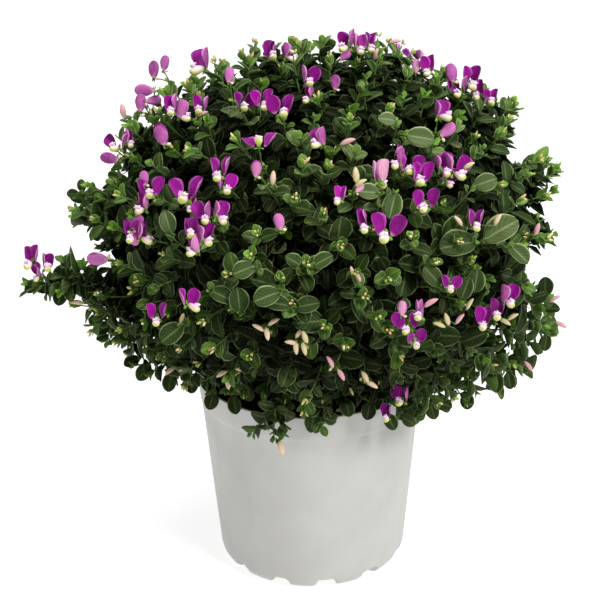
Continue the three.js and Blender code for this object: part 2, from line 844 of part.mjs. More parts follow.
// Adds a shoot with the flowers on its tip, where it crosses nothing that stands
function addShoot(shoot, flowers, random) {
  const name = `shoot_${shoots.length}`;
  if (flowers.length > 0) {
    shoot.axis = centreOf(flowers.map(({ at }) => at)).sub(shoot.tip).normalize();
  }
  const spared = [`bough_${shoot.bough}`, ...(shoot.spared ?? [])];
  const probe = stemProbe(shoot);
  if (crossing(probe, spared)) {
    return false;
  }
  const ownNode = flowers.some(({ kind }) => kind === "open")
    || (flowers.length > 1 && flowers.some(({ kind }) => kind === "shut"));
  if (flowers.length > 0) {
    const root = along(shoot.tip, shoot.axis, ownNode ? BLOOM_LIFT : 0);
    const spray = spraySolid(flowers, root, random);
    if (crossing(spray, ownNode ? [] : spared)) {
      return false;
    }
    if (ownNode) {
      stand(spray, "bloom");
      bloomSolids.push(spray);
    } else {
      stand(spray, name);
      shoot.blooms.push(spray);
    }
  }
  stand(probe, name);
  shoots.push({ ...shoot, name, blooming: ownNode });
  return true;
}

// A spray is moved along the line of sight until it is free of its neighbours
function addFrontSpray(spray, random) {
  return SHIFTS.some((shift) => {
    const flowers = spreadFlowers(spray.map(({ kind, column, row }) => {
      const way = sightLine(column, row);
      return { kind, at: along(meetBush(EYE, way, 1), way, shift) };
    }));
    const centre = centreOf(flowers.map(({ at }) => at));
    const inwards = FORK.clone().sub(centre).normalize();
    const blooms = flowers.filter(({ kind }) => kind !== "tip");
    return addShoot(shootTo(along(centre, inwards, STALK.length)), blooms, random);
  });
}

function addStray({ steps, flowers, ahead = STRAY_AHEAD }, random) {
  const points = steps.map(([column, row, depth]) => seenAtDepth(column, row, depth));
  const depth = steps.at(-1)[2];
  const blooms = spreadFlowers(flowers.map(({ kind, column, row }) =>
    ({ kind, at: seenAtDepth(column, row, depth - ahead) })));
  const bough = boughOf(points[0]);
  points.forEach((point, i) => {
    const last = i === points.length - 1;
    let shoot = shootTo(point, bough);
    if (i > 0) {
      const way = point.clone().sub(points[i - 1]).normalize();
      shoot = shootTo(point, bough, along(points[i - 1], way, -SHOOT.joint));
      shoot.spared = [`shoot_${shoots.length - 1}`];
    }
    if (!last) {
      shoot.axis = points[i + 1].clone().sub(shoot.root).normalize();
      shoot.spared = [...(shoot.spared ?? []), `shoot_${shoots.length + 1}`];
    }
    addShoot(shoot, last ? blooms : [], random);
  });
}

// Sprays at the back, which the front view doesn't show, are spread by rule
function addBackSprays() {
  const { count, tries, highest, lowest, behind, turn, apart, loose } = BACK_SPRAYS;
  let added = 0;
  for (let i = 0; i < tries && added < count; i += 1) {
    const way = spherePoint(i, tries, highest, lowest);
    if (way.y > behind) {
      const random = randomSource(SEEDS.back + i);
      const centre = onBush(way, 1);
      const flowers = [turn, turn + 180].map((degrees) => {
        const drift = new THREE.Vector3(random(), random(), random()).subScalar(0.5);
        const aside = UP.clone().cross(way).normalize().applyAxisAngle(way, radians(degrees));
        return { kind: "open", at: along(centre, aside, apart).addScaledVector(drift, loose) };
      });
      const tip = along(centre, centre.clone().sub(FORK).normalize(), -STALK.length);
      added += addShoot(shootTo(tip), flowers, random) ? 1 : 0;
    }
  }
}

function addFillers() {
  for (let i = 0; i < FILLER.tries; i += 1) {
    const random = randomSource(SEEDS.filler + i);
    const way = spherePoint(i, FILLER.tries, FILLER.highest, FILLER.lowest);
    const tip = onBush(way, FILLER.reach + FILLER.spread * (random() - 0.5));
    const overPot = Math.hypot(tip.x, tip.y) < POT.topRadius + FILLER.rimClear;
    const tooLow = tip.z < POT.height + (overPot ? FILLER.rimLift : 0);
    const crowded = shoots.some((other) => other.tip.distanceTo(tip) < FILLER.apart);
    if (!tooLow && !crowded) {
      addShoot({ ...shootTo(tip), leafScale: FILLER.leafScale }, [], random);
    }
  }
}

// Leaves: each takes the first pose in which it crosses nothing
function leavesOf(shoot, random) {
  const vary = LEAF_VARIETY;
  const frame = frameAbout(shoot.axis, awayFrom(shoot.axis), radians(vary.turn * random()));
  const count = shoot.blooming ? LEAVES_A_WHORL.blooming : LEAVES_A_WHORL.leafy;
  const size = shoot.leafScale ?? 1;
  const blades = range(count).map((k) => ({
    ...LEAF,
    azimuth: (360 * k) / count + vary.azimuth * (random() - 0.5),
    rise: LEAF.rise + vary.rise * (random() - vary.lowRise),
    length: LEAF.length * size * (vary.shortest + vary.length * random()),
    width: LEAF.width * size,
  }));
  const azimuths = halfwayAzimuths(blades);
  const chosen = blades.map((blade, k) => {
    const before = azimuths[(k + count - 1) % count];
    for (const pose of LEAF_POSES) {
      const posed = {
        ...blade,
        rise: blade.rise + pose.rise,
        length: blade.length * pose.scale,
        width: blade.width * pose.scale,
      };
      const probe = bladeProbe(shoot.tip, frame, posed, before, azimuths[k]);
      if (!crossing(probe, [shoot.name, ...(shoot.spared ?? [])])) {
        stand(probe, shoot.name);
        return posed;
      }
    }
    return { ...blade, ...LEAF_STUB, stub: true };
  });
  const kept = chosen.filter(({ stub }) => !stub);
  return { frame, blades: kept.length >= FEWEST_LEAVES ? kept : chosen };
}

function addMesh(group, name, solid, look) {
  const material = new THREE.MeshStandardMaterial({
    color: COLOURS[look],
    roughness: ROUGHNESS[look],
    metalness: 0,
  });
  const mesh = new THREE.Mesh(geometryFromSolid(solid), material);
  mesh.name = name;
  group.add(mesh);
}

const core = coreSolid();
const trunkRoom = trunkSolid(REST_GAP);
const basics = {
  pot: potSolid(),
  inner_pot: linerSolid(),
  soil: soilSolid(),
  trunk: trunkSolid(),
};
const boughs = range(BOUGHS.count).map((i) => boughCore(core, trunkRoom, i));
Object.entries(basics).forEach(([name, solid]) => stand(solid, name));
boughs.forEach((solid, i) => stand(solid, `bough_${i}`));

STRAY_SHOOTS.forEach((stray, i) => addStray(stray, randomSource(SEEDS.stray + i)));
FRONT_SPRAYS.forEach((spray, i) => addFrontSpray(spray, randomSource(SEEDS.front + i)));
addBackSprays();
addFillers();

shoots.forEach((shoot, i) => {
  const { frame, blades } = leavesOf(shoot, randomSource(SEEDS.leaves + i));
  const stem = [{ at: shoot.root, radius: SHOOT.flare * SHOOT.radius }];
  const tipBud = shoot.blooming ? TIP_BUD.blooming : TIP_BUD.leafy;
  const whorl = whorlSolid(shoot.tip, frame, blades, stem, tipBud);
  boughs[shoot.bough] = fused([boughs[shoot.bough], whorl, ...shoot.blooms]);
});

const group = new THREE.Group();
const numbered = (name, i) => `${name}_${String(i + 1).padStart(2, "0")}`;
Object.entries(basics).forEach(([name, solid]) => addMesh(group, name, solid, name));
boughs.forEach((solid, i) => addMesh(group, numbered("bough", i), solid, "bough"));
bloomSolids.forEach((solid, i) => addMesh(group, numbered("bloom", i), solid, "bloom"));

export default group;
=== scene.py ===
"""The looks of a potted milkwort: a leafy bush with butterfly-shaped magenta flowers.

Lengths are in millimetres here, and a mesh is scaled to metres as it is made. Z is up,
the origin is under the middle of the pot, and the front view looks along +Y.
"""

import math
from dataclasses import dataclass, field

import bpy
import numpy as np
from mathutils import Matrix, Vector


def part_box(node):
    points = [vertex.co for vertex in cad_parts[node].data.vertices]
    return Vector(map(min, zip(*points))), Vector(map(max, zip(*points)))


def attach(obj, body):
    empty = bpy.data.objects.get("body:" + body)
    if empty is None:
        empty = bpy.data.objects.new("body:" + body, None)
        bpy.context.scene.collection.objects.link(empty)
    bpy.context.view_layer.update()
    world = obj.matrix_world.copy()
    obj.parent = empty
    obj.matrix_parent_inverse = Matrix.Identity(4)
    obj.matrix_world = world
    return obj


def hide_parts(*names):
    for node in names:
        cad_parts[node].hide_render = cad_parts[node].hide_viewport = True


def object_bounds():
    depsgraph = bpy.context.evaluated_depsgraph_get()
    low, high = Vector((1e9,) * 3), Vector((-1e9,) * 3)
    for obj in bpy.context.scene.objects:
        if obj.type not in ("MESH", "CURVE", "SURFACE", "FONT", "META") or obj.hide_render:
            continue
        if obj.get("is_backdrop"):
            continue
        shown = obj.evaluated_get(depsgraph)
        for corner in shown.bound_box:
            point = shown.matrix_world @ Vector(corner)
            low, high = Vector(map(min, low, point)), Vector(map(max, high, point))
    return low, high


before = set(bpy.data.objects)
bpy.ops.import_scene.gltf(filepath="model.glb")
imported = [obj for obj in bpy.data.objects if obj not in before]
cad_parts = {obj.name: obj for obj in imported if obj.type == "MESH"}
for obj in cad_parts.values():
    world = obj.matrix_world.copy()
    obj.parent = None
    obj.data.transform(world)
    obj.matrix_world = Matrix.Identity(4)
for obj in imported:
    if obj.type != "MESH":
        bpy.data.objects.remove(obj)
CAD_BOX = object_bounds()

MM = 0.001
UP = np.array([0.0, 0.0, 1.0])
TO_FRONT = np.array([0.0, -1.0, 0.0])
STEEP = 0.9
GOLDEN_ANGLE = math.pi * (3 - math.sqrt(5))

# The photograph's view: a square of 600 by 600 steps, column and row from its top left
VIEW_DISTANCE = 1500.0
VIEW_AIM = np.array([-6.8, 0.0, 206.9])
VIEW_DOWN = math.radians(24.2)
VIEW_ROLL = math.radians(-0.91)
FOCAL = 2045.0
IMAGE_SIDE = 600
SENSOR = 36.0

# The bush: the ellipsoid that the shoot tips reach, and the fork that its limbs rise from
BUSH_CENTRE = np.array([11.0, 0.0, 271.0])
BUSH_RADII = np.array([176.0, 170.0, 130.0])
FORK = np.array([5.0, 0.0, 184.0])
CORE_SHARE = 0.83
BOUGHS = 10
BACK_SPRAYS = 10

# The pot
POT_TOP_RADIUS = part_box("pot")[1].x / MM
POT_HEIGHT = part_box("pot")[1].z / MM
POT_WALL = 1.6
POT_STEP = 0.6
BAND_HEIGHT = 20.0
CORNER_RADIUS = 12.0
FOOT_RADIUS = 69.5
FLAT_RADIUS = 50.0
NOTCHES = 12
NOTCH_TURN = 8.0
NOTCH_HEIGHT = 10.0
NOTCH_FLAT = 4.6
NOTCH_END = 8.4
POT_SIDES = 240
LINER_BELOW = 2.5
LINER_FLOOR = 11.9
LINER_FLOOR_RADIUS = 61.0
LINER_HEEL = 17.0
LINER_WALL = 1.0
LINER_SIDES = 180
WALL_GAP = 0.5
SOIL_TOP = 138.0
SOIL_CROWN = 3.5
SOIL_GAP = 0.8
SOIL_RELIEF = 1.6
SOIL_SIDES = 150
SOIL_CRUMBS = 420
TRUNK_RADIUS = 6.0
TRUNK_SIDES = 28

# Leaves
LEAF_LENGTH = 14.6
LEAF_WIDTH = 0.72
LEAF_TO_LIGHT = 0.4
LARGE_LEAF = 1.55
LARGE_SHARE = 0.12
# The share of painted light that broad leaves get
BROAD_PAINTED_LIGHT = 0.8
LEAF_THICK = 0.45
LEAF_PITCH = 3.1
LEAF_FIRST = 0.6
GROWING = 6.2
YOUNG_LENGTH = 0.24
YOUNG_RISE = 16.0
OLD_RISE = 68.0
LEAF_WAVE = 0.35
LEAF_MIDDLE = 0.55
LEAF_SHOWS = 0.8
# The painted light of outer leaves: its share half way up the bush, its rise with height and its least
# share
LIT_HALF_WAY = 0.31
LIT_BY_HEIGHT = 0.62
LIT_LEAST = 0.22

# Shoots
SHOOT_TRIES = 1500
SHOOT_APART = 18.8
SHOOT_LEAVES = 14
SPRAY_LEAVES = 12
INNER_LEAVES = 2300
# Shares of the bush's size from painted shade deep inside to full painted light outside
DEEP_SHARE = 0.83
OUTER_SHARE = 1.03
STEM_RADIUS = 1.15
TWIG_RADIUS = 0.48
STEM_SIDES = 5
FILLER_REACH = 0.955
FILLER_BUDS = 0.28
BROAD_SHOOT_LEAVES = 6
BROAD_SHOOT_SCALE = 0.75
SPRIG_LEAVES = 10
SPRIG_SCALE = 0.95
SPRIG_LEAFY = 27.0
STRAY_PITCH = 2.7
STRAY_SHARE = 0.8
STRAY_LEAFY = 48.0
STRAY_STEP = 30.0
STRAY_SCALE = 1.1
HANGING_SCALE = 0.8
FRONT_OF_POT = -100.0
LIMBS = 44
LIMB_REACH = 0.52
LIMB_STEPS = 8
RIM_CLEAR = 14.0
RIM_LIFT = 12.0
POT_CLEAR = 3.0
HANG_DEPTH = 42.0

# Flowers
WING_LENGTH = 12.5
WING_WIDTH = 0.72
CLOSED_WIDTH = 0.62
WING_APART = 3.6
WING_UPRIGHT = 0.62
WING_CURVE = (0.7, -0.4)
WING_THICK = 0.35
WING_WAVE = 0.3
CLOSED_APART = 1.5
CLOSED_CURVE = (0.3, -0.15)
CLOSED_SPREAD = 8.0
CLOSED_KEEL = 0.45
KEEL_SIDES = 10
CREST_HAIRS = 14
CREST_RADII = [0.5, 0.6, 0.7, 0.35]
SEPAL_LENGTH = 4.0
SEPAL_WIDTH = 2.4
STALK_LENGTH = 13.0
STALK_RADII = [0.5, 0.45, 0.42, 0.42, 0.48, 0.7]
PALE_LENGTH = 9.2
PALE_WIDTH = 3.8
PALE_DEEP = 3.1
TIP_BUD_LENGTHS = (2.8, 5.2)
TIP_BUD_WIDTH = 0.4
FLOWER_CLEAR = 10.5
FLOWER_BEHIND = 4.0
BUD_CLEAR = 4.5

# Sprays on the far side: how far their flowers stand apart, down and in
FAR_APART = 8.0
FAR_THIRD_APART = 2.0
FAR_DOWN = 5.0
FAR_IN = 3.0
FAR_SIZE = 0.92


def unit(vectors):
    """Vectors at length 1."""
    return vectors / np.linalg.norm(vectors, axis=-1, keepdims=True)


def mixed(a, b, share):
    return a + (b - a) * share


def smooth(value, low, high):
    """0 below low, 1 above high, and a smooth rise between."""
    t = np.clip((value - low) / (high - low), 0, 1)
    return t * t * (3 - 2 * t)


def across(normals, ribs):
    """Normals made square to the ribs."""
    return unit(normals - np.sum(normals * ribs, axis=-1, keepdims=True) * ribs)


def frame_about(axes):
    """Two directions square to each axis and to each other."""
    v = across(np.where(np.abs(axes[..., 2:]) < STEEP, UP, TO_FRONT), axes)
    return np.cross(v, axes), v


def swung(start, towards, angles):
    """The ways at angles from one direction towards another."""
    angles = np.asarray(angles)[..., None]
    return start * np.cos(angles) + towards * np.sin(angles)


# The front view
FORWARD = np.array([0.0, math.cos(VIEW_DOWN), -math.sin(VIEW_DOWN)])
UPRIGHT = np.array([0.0, math.sin(VIEW_DOWN), math.cos(VIEW_DOWN)])
LEVEL = np.array([1.0, 0.0, 0.0])
RIGHT = swung(LEVEL, UPRIGHT, VIEW_ROLL)
ABOVE = swung(UPRIGHT, -LEVEL, VIEW_ROLL)
EYE = VIEW_AIM - FORWARD * VIEW_DISTANCE


def sight(column, row):
    """The direction from the eye to a place in the front view."""
    half = IMAGE_SIDE / 2
    return unit(FORWARD + RIGHT * (column - half) / FOCAL + ABOVE * (half - row) / FOCAL)


def seen(points):
    """Column, row and distance of points in the front view."""
    away = points - EYE
    deep = away @ FORWARD
    half = IMAGE_SIDE / 2
    return half + FOCAL * (away @ RIGHT) / deep, half - FOCAL * (away @ ABOVE) / deep, deep


def at_depth(column, row, depth):
    """The point seen at a column and row that stands at a given y."""
    way = sight(column, row)
    return EYE + way * (depth - EYE[1]) / way[1]


def meet_bush(start, way, share=1.0, last=False):
    """Where a line first meets the bush at a share of its size, or comes nearest to it."""
    begin = (start - BUSH_CENTRE) / BUSH_RADII
    pace = way / BUSH_RADII
    a = pace @ pace
    b = begin @ pace
    root = math.sqrt(max(0.0, b * b - a * (begin @ begin - share * share)))
    return start + way * (-b + (root if last else -root)) / a


def on_bush(way, share):
    return BUSH_CENTRE + way * BUSH_RADII * share


def outwards_at(point):
    """The way out of the bush at a point."""
    return unit((point - BUSH_CENTRE) / BUSH_RADII ** 2)


def sphere_point(i, count, top, bottom):
    """Point i of count, spread evenly over a band of the unit sphere."""
    height = top + (bottom - top) * (i + 0.5) / count
    ring = math.sqrt(1 - height * height)
    return np.array([ring * math.cos(i * GOLDEN_ANGLE), ring * math.sin(i * GOLDEN_ANGLE), height])


BOUGH_AXES = np.array([
    unit(on_bush(sphere_point(i, BOUGHS, 1, -0.72), CORE_SHARE) - FORK) for i in range(BOUGHS)
])


def bough_of(points):
    """The bough that each point belongs to."""
    return np.argmax(unit(points - FORK) @ BOUGH_AXES.T, axis=-1)


# Shapes
def placed(name, data):
    """A new object of the scene."""
    thing = bpy.data.objects.new(name, data)
    bpy.context.scene.collection.objects.link(thing)
    return thing


@dataclass
class Shape:
    """Points and triangles, with a material slot for each triangle and marks for shading.

    A mark holds the share along the shape, the share across it, and a number that
    differs from shape to shape: its tone, and for a leaf its painted light and shade.
    The age is 0 for old growth and 1 for young.
    """

    points: list = field(default_factory=list)
    triangles: list = field(default_factory=list)
    slots: list = field(default_factory=list)
    marks: list = field(default_factory=list)
    ages: list = field(default_factory=list)
    count: int = 0

    def add(self, points, triangles, slots, marks, ages):
        """Adds one shape, or many alike when the points have a leading axis of shapes."""
        if points.ndim == 2:
            points = points[None]
        many, size = points.shape[:2]
        offsets = self.count + size * np.arange(many)[:, None, None]
        self.points.append(points.reshape(-1, 3))
        self.triangles.append((triangles[None] + offsets).reshape(-1, 3))
        self.slots.append(np.tile(np.broadcast_to(slots, len(triangles)), many))
        self.marks.append(np.broadcast_to(marks, (many, size, 3)).reshape(-1, 3))
        self.ages.append(np.broadcast_to(np.reshape(ages, (-1, 1)), (many, size)).ravel())
        self.count += many * size

    def build(self, name, materials, slot, *nodes):
        """Makes the mesh object, which stands for the CAD nodes named."""
        points = np.concatenate(self.points) * MM
        triangles = np.concatenate(self.triangles)
        mesh = bpy.data.meshes.new(name)
        mesh.vertices.add(len(points))
        mesh.vertices.foreach_set("co", points.ravel())
        mesh.loops.add(triangles.size)
        mesh.loops.foreach_set("vertex_index", triangles.ravel())
        mesh.polygons.add(len(triangles))
        mesh.polygons.foreach_set("loop_start", np.arange(0, triangles.size, 3))
        mesh.polygons.foreach_set("material_index", np.concatenate(self.slots))
        mesh.update(calc_edges=True)
        mesh.validate()
        mesh.shade_smooth()
        mark = mesh.attributes.new("mark", "FLOAT_VECTOR", "POINT")
        mark.data.foreach_set("vector", np.concatenate(self.marks).astype(np.float32).ravel())
        age = mesh.attributes.new("age", "FLOAT", "POINT")
        age.data.foreach_set("value", np.concatenate(self.ages).astype(np.float32))
        for material in materials:
            mesh.materials.append(material)
        piece = placed(name, mesh)
        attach(piece, "root")
        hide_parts(*nodes)


def marks_of(many, along, wide, tones_and_painted_light):
    """Marks for shapes alike: shares along and across for each point, a number for each shape."""
    marks = np.empty((many, len(along), 3))
    marks[:, :, 0] = along
    marks[:, :, 1] = wide
    marks[:, :, 2] = np.reshape(tones_and_painted_light, (-1, 1))
    return marks


class Blade:
    """A thin closed blade, such as a leaf or a petal, as a grid with two faces.

    The stations are shares of the length, the widths are shares of the full width there,
    and columns gives the number of points from edge to edge.
    """

    def __init__(self, stations, widths, columns):
        rows = len(stations)
        steps = np.linspace(-1, 1, columns)
        top = [(s, a, w) for s, w in zip(stations, widths) for a in steps]
        under = [(s, a, w) for s, w in zip(stations, widths) for a in steps[1:-1]]
        grid = np.array(top + under + [(0, 0, 0), (1, 0, 0)])
        self.along, self.aside, self.wide = grid.T
        self.below = np.zeros(len(grid))
        self.below[len(top):len(top) + len(under)] = 1
        base, tip = len(grid) - 2, len(grid) - 1

        def over(i, j):
            return i * columns + j

        def beneath(i, j):
            edge = j in (0, columns - 1)
            return over(i, j) if edge else len(top) + i * (columns - 2) + j - 1

        upper = self.sheet(over, rows, columns, base, tip)
        lower = [tri[::-1] for tri in self.sheet(beneath, rows, columns, base, tip)]
        self.triangles = np.array(upper + lower)
        self.faces = np.repeat([0, 1], [len(upper), len(lower)])

    @staticmethod
    def sheet(at, rows, columns, base, tip):
        """The triangles of one face of the grid."""
        triangles = []
        for j in range(columns - 1):
            triangles.append((base, at(0, j + 1), at(0, j)))
            triangles.append((at(rows - 1, j), at(rows - 1, j + 1), tip))
            for i in range(rows - 1):
                a, b, c, d = at(i, j), at(i, j + 1), at(i + 1, j + 1), at(i + 1, j)
                triangles += [(a, b, c), (a, c, d)]
        return triangles

    def points(self, base, rib, normal, length, width, cup, bend, thick, wave=0.0, phase=0.0):
        """Points of many blades. A cup lifts the edges and a bend curls the tip back."""
        base, rib, normal = (np.asarray(v)[:, None, :] for v in (base, rib, normal))
        length, width, cup, bend, wave, phase = (
            np.reshape(v, (-1, 1)) * np.ones((base.shape[0], 1))
            for v in (length, width, cup, bend, wave, phase)
        )
        turn = np.where(np.abs(bend) < 0.01, 0.01, bend)
        side = np.cross(rib, normal)
        x = self.aside * self.wide * width / 2
        y = length * np.sin(turn * self.along) / turn
        z = -length * (1 - np.cos(turn * self.along)) / turn
        z = z + cup * width / 2 * (self.aside * self.wide) ** 2
        z = z + wave * np.sin(9 * self.along + phase) * self.aside * np.abs(self.aside)
        body = thick * (1 - self.aside ** 2) * np.sqrt(np.clip(self.wide, 0, 1))
        z = z - body * self.below
        return base + side * x[..., None] + rib * y[..., None] + normal * z[..., None]


class Spindle:
    """A closed rounded spindle through rings, such as a bud."""

    def __init__(self, stations, radii, sides):
        angles = 2 * math.pi * np.arange(sides) / sides
        rings = [
            (s, r * math.cos(a), r * math.sin(a)) for s, r in zip(stations, radii) for a in angles
        ]
        grid = np.array(rings + [(0, 0, 0), (1, 0, 0)])
        self.along, self.u, self.v = grid.T
        last = (len(stations) - 1) * sides
        start, tip = len(rings), len(rings) + 1
        triangles = []
        for k in range(sides):
            n = (k + 1) % sides
            triangles += [(start, n, k), (last + k, last + n, tip)]
            for low in range(0, last, sides):
                a, b, c, d = low + k, low + n, low + sides + n, low + sides + k
                triangles += [(a, b, c), (a, c, d)]
        self.triangles = np.array(triangles)

    def points(self, base, axis, length, width, deep=None, curl=0.0):
        """Points of many spindles, which may curl to one side."""
        base, axis = (np.asarray(v)[:, None, :] for v in (base, axis))
        u, v = frame_about(axis)
        length, width = (np.reshape(w, (-1, 1, 1)) for w in (length, width))
        deep = width if deep is None else np.reshape(deep, (-1, 1, 1))
        bow = curl * length * (self.along * (1 - self.along))[:, None]
        return (base + axis * length * self.along[:, None] + u * width / 2 * self.u[:, None]
                + v * (deep / 2 * self.v[:, None] + bow))


def tube(path, half_widths, sides, hint=None):
    """A closed tube along a path: its points and triangles, and the share along it of each point.

    The half widths are one number for each ring, or a pair for an oval tube.
    """
    path = np.asarray(path, float)
    half_widths = np.asarray(half_widths, float)
    pairs = half_widths if half_widths.ndim == 2 else np.stack([half_widths] * 2, axis=1)
    tangents = unit(np.gradient(path, axis=0))
    if hint is None:
        hint = np.eye(3)[np.argmin(np.abs(tangents.mean(axis=0)))]
    v = across(np.broadcast_to(hint, tangents.shape), tangents)
    u = np.cross(v, tangents)
    angles = 2 * math.pi * np.arange(sides) / sides
    rings = (path[:, None] + u[:, None] * (pairs[:, :1] * np.cos(angles))[..., None]
             + v[:, None] * (pairs[:, 1:] * np.sin(angles))[..., None])
    points = np.concatenate([rings.reshape(-1, 3), path[:1], path[-1:]])
    shares = np.repeat(np.linspace(0, 1, len(path)), sides)
    form = Spindle(np.linspace(0, 1, len(path)), np.ones(len(path)), sides)
    return points, form.triangles, np.concatenate([shares, [0, 1]])


def curve(start, middle, end, steps):
    """A smooth path from start to end, bent towards a middle point."""
    t = np.linspace(0, 1, steps)[:, None]
    return start * (1 - t) ** 2 + 2 * middle * t * (1 - t) + end * t ** 2


def add_tube(shape, path, half_widths, sides, slot, tone_and_painted_light, age=0.0, hint=None):
    points, triangles, shares = tube(path, half_widths, sides, hint)
    shape.add(points, triangles, slot, marks_of(1, shares, 0, tone_and_painted_light), age)


# Materials
class Nodes:
    """A material's node tree, with short ways to add and join its nodes."""

    def __init__(self, name):
        self.material = bpy.data.materials.new(name)
        self.material.use_nodes = True
        self.tree = self.material.node_tree
        self.surface = self.tree.nodes["Principled BSDF"]

    def add(self, kind, **settings):
        node = self.tree.nodes.new("ShaderNode" + kind)
        for key, value in settings.items():
            setattr(node, key, value)
        return node

    def join(self, source, socket):
        self.tree.links.new(source, socket)

    @staticmethod
    def set(node, values):
        """Sets sockets of a node, by name, to numbers."""
        for key, value in values.items():
            node.inputs[key].default_value = value

    def feed(self, value, socket):
        """Sets a socket to a number or colour, or joins a source to it."""
        if isinstance(value, bpy.types.NodeSocket):
            self.join(value, socket)
        else:
            socket.default_value = value

    def attribute(self, name):
        return self.add("Attribute", attribute_name=name)

    def marks(self):
        """The three numbers of a shape's mark."""
        node = self.add("SeparateXYZ")
        self.join(self.attribute("mark").outputs["Vector"], node.inputs[0])
        return node.outputs

    def noise(self, scale, detail=2.0, roughness=0.5, stretch=None):
        node = self.add("TexNoise")
        self.set(node, {"Scale": scale, "Detail": detail, "Roughness": roughness})
        coordinates = self.add("TexCoord").outputs["Object"]
        if stretch:
            mapping = self.add("Mapping")
            mapping.inputs["Scale"].default_value = stretch
            self.join(coordinates, mapping.inputs["Vector"])
            coordinates = mapping.outputs["Vector"]
        self.join(coordinates, node.inputs["Vector"])
        return node.outputs["Fac"]

    def math(self, operation, a, b=0.0, clamp=False):
        node = self.add("Math", operation=operation, use_clamp=clamp)
        self.feed(a, node.inputs[0])
        self.feed(b, node.inputs[1])
        return node.outputs[0]

    def ramp(self, value, low, high, to_low=0.0, to_high=1.0):
        """A smooth step of a value."""
        node = self.add("MapRange", interpolation_type="SMOOTHSTEP")
        self.feed(value, node.inputs["Value"])
        limits = {"From Min": low, "From Max": high, "To Min": to_low, "To Max": to_high}
        self.set(node, limits)
        return node.outputs["Result"]

    def mix(self, share, a, b, blend="MIX"):
        node = self.add("Mix", data_type="RGBA", blend_type=blend)
        self.feed(share, node.inputs[0])
        self.feed(a, node.inputs[6])
        self.feed(b, node.inputs[7])
        return node.outputs[2]

    def bump(self, height, strength, distance):
        node = self.add("Bump")
        self.set(node, {"Strength": strength, "Distance": distance})
        self.join(height, node.inputs["Height"])
        self.join(node.outputs["Normal"], self.surface.inputs["Normal"])

    def finish(self, colour, roughness, specular=0.5, sheen=0.0):
        self.feed(colour, self.surface.inputs["Base Color"])
        self.feed(roughness, self.surface.inputs["Roughness"])
        self.feed(specular, self.surface.inputs["Specular IOR Level"])
        self.surface.inputs["Sheen Weight"].default_value = sheen
        return self.material


def rgb(red, green, blue):
    """A colour given as it shows on a screen, from 0 to 255, for a shader."""
    shares = [c / 255 for c in (red, green, blue)]
    curved = [c / 12.92 if c <= 0.04045 else ((c + 0.055) / 1.055) ** 2.4 for c in shares]
    return (*curved, 1.0)


def leaf_material(name, shaded_tone, middle, light, young, margin, margin_share):
    """A leaf face: dull green in painted light and shade, with a pale edge and rib, faint veins and bright
    young growth.
    """
    nodes = Nodes(name)
    along, wide, tone_and_painted_light = nodes.marks()
    aside = nodes.math("ABSOLUTE", wide)
    age = nodes.attribute("age").outputs["Fac"]
    # Painted light and shade: deep leaves take the shaded tone, outer and high leaves the light one
    tone = nodes.mix(nodes.ramp(tone_and_painted_light, 0.0, 0.5), shaded_tone, middle)
    tone = nodes.mix(nodes.ramp(tone_and_painted_light, 0.3, 1.0), tone, light)
    # A dull olive fade on some leaves, stronger the more painted light they get
    faded = nodes.ramp(nodes.math("FRACT", nodes.math("MULTIPLY", tone_and_painted_light, 97.0)), 0.6, 1.0, 0.0, 0.4)
    tone = nodes.mix(nodes.math("MULTIPLY", faded, tone_and_painted_light), tone, rgb(112, 112, 74))
    # Mottle towards the light tone, stronger the more painted light a leaf gets
    mottle = nodes.ramp(nodes.noise(160.0, 3.0, 0.6), 0.3, 0.75, 0.0, 0.35)
    tone = nodes.mix(nodes.math("MULTIPLY", mottle, tone_and_painted_light), tone, light)
    tone = nodes.mix(age, tone, young)
    # The pale edge, rib and veins fade into the painted shade of deep leaves
    pale = nodes.ramp(tone_and_painted_light, 0.0, 0.5, 0.16, 1.0)
    slant = nodes.math("SUBTRACT", along, nodes.math("MULTIPLY", aside, 0.35))
    vein = nodes.math("SINE", nodes.math("MULTIPLY", slant, 42.0))
    vein = nodes.ramp(vein, 0.75, 1.0, 0.0, 0.12)
    tone = nodes.mix(nodes.math("MULTIPLY", vein, pale), tone, margin)
    rib = nodes.ramp(aside, 0.02, 0.14, 0.3, 0.0)
    tone = nodes.mix(nodes.math("MULTIPLY", rib, pale), tone, margin)
    edge = nodes.ramp(aside, 0.84, 0.95, 0.0, margin_share)
    tone = nodes.mix(nodes.math("MULTIPLY", edge, pale), tone, margin)
    relief = nodes.math("ADD", nodes.math("MULTIPLY", rib, -1.0), nodes.math("MULTIPLY", vein, -0.8))
    nodes.bump(relief, 0.35, 0.0006)
    roughness = nodes.ramp(nodes.noise(90.0), 0.3, 0.7, 0.46, 0.62)
    # Specular is low on leaves in painted shade and higher on lit ones
    return nodes.finish(tone, roughness, nodes.ramp(tone_and_painted_light, 0.0, 0.8, 0.03, 0.3))


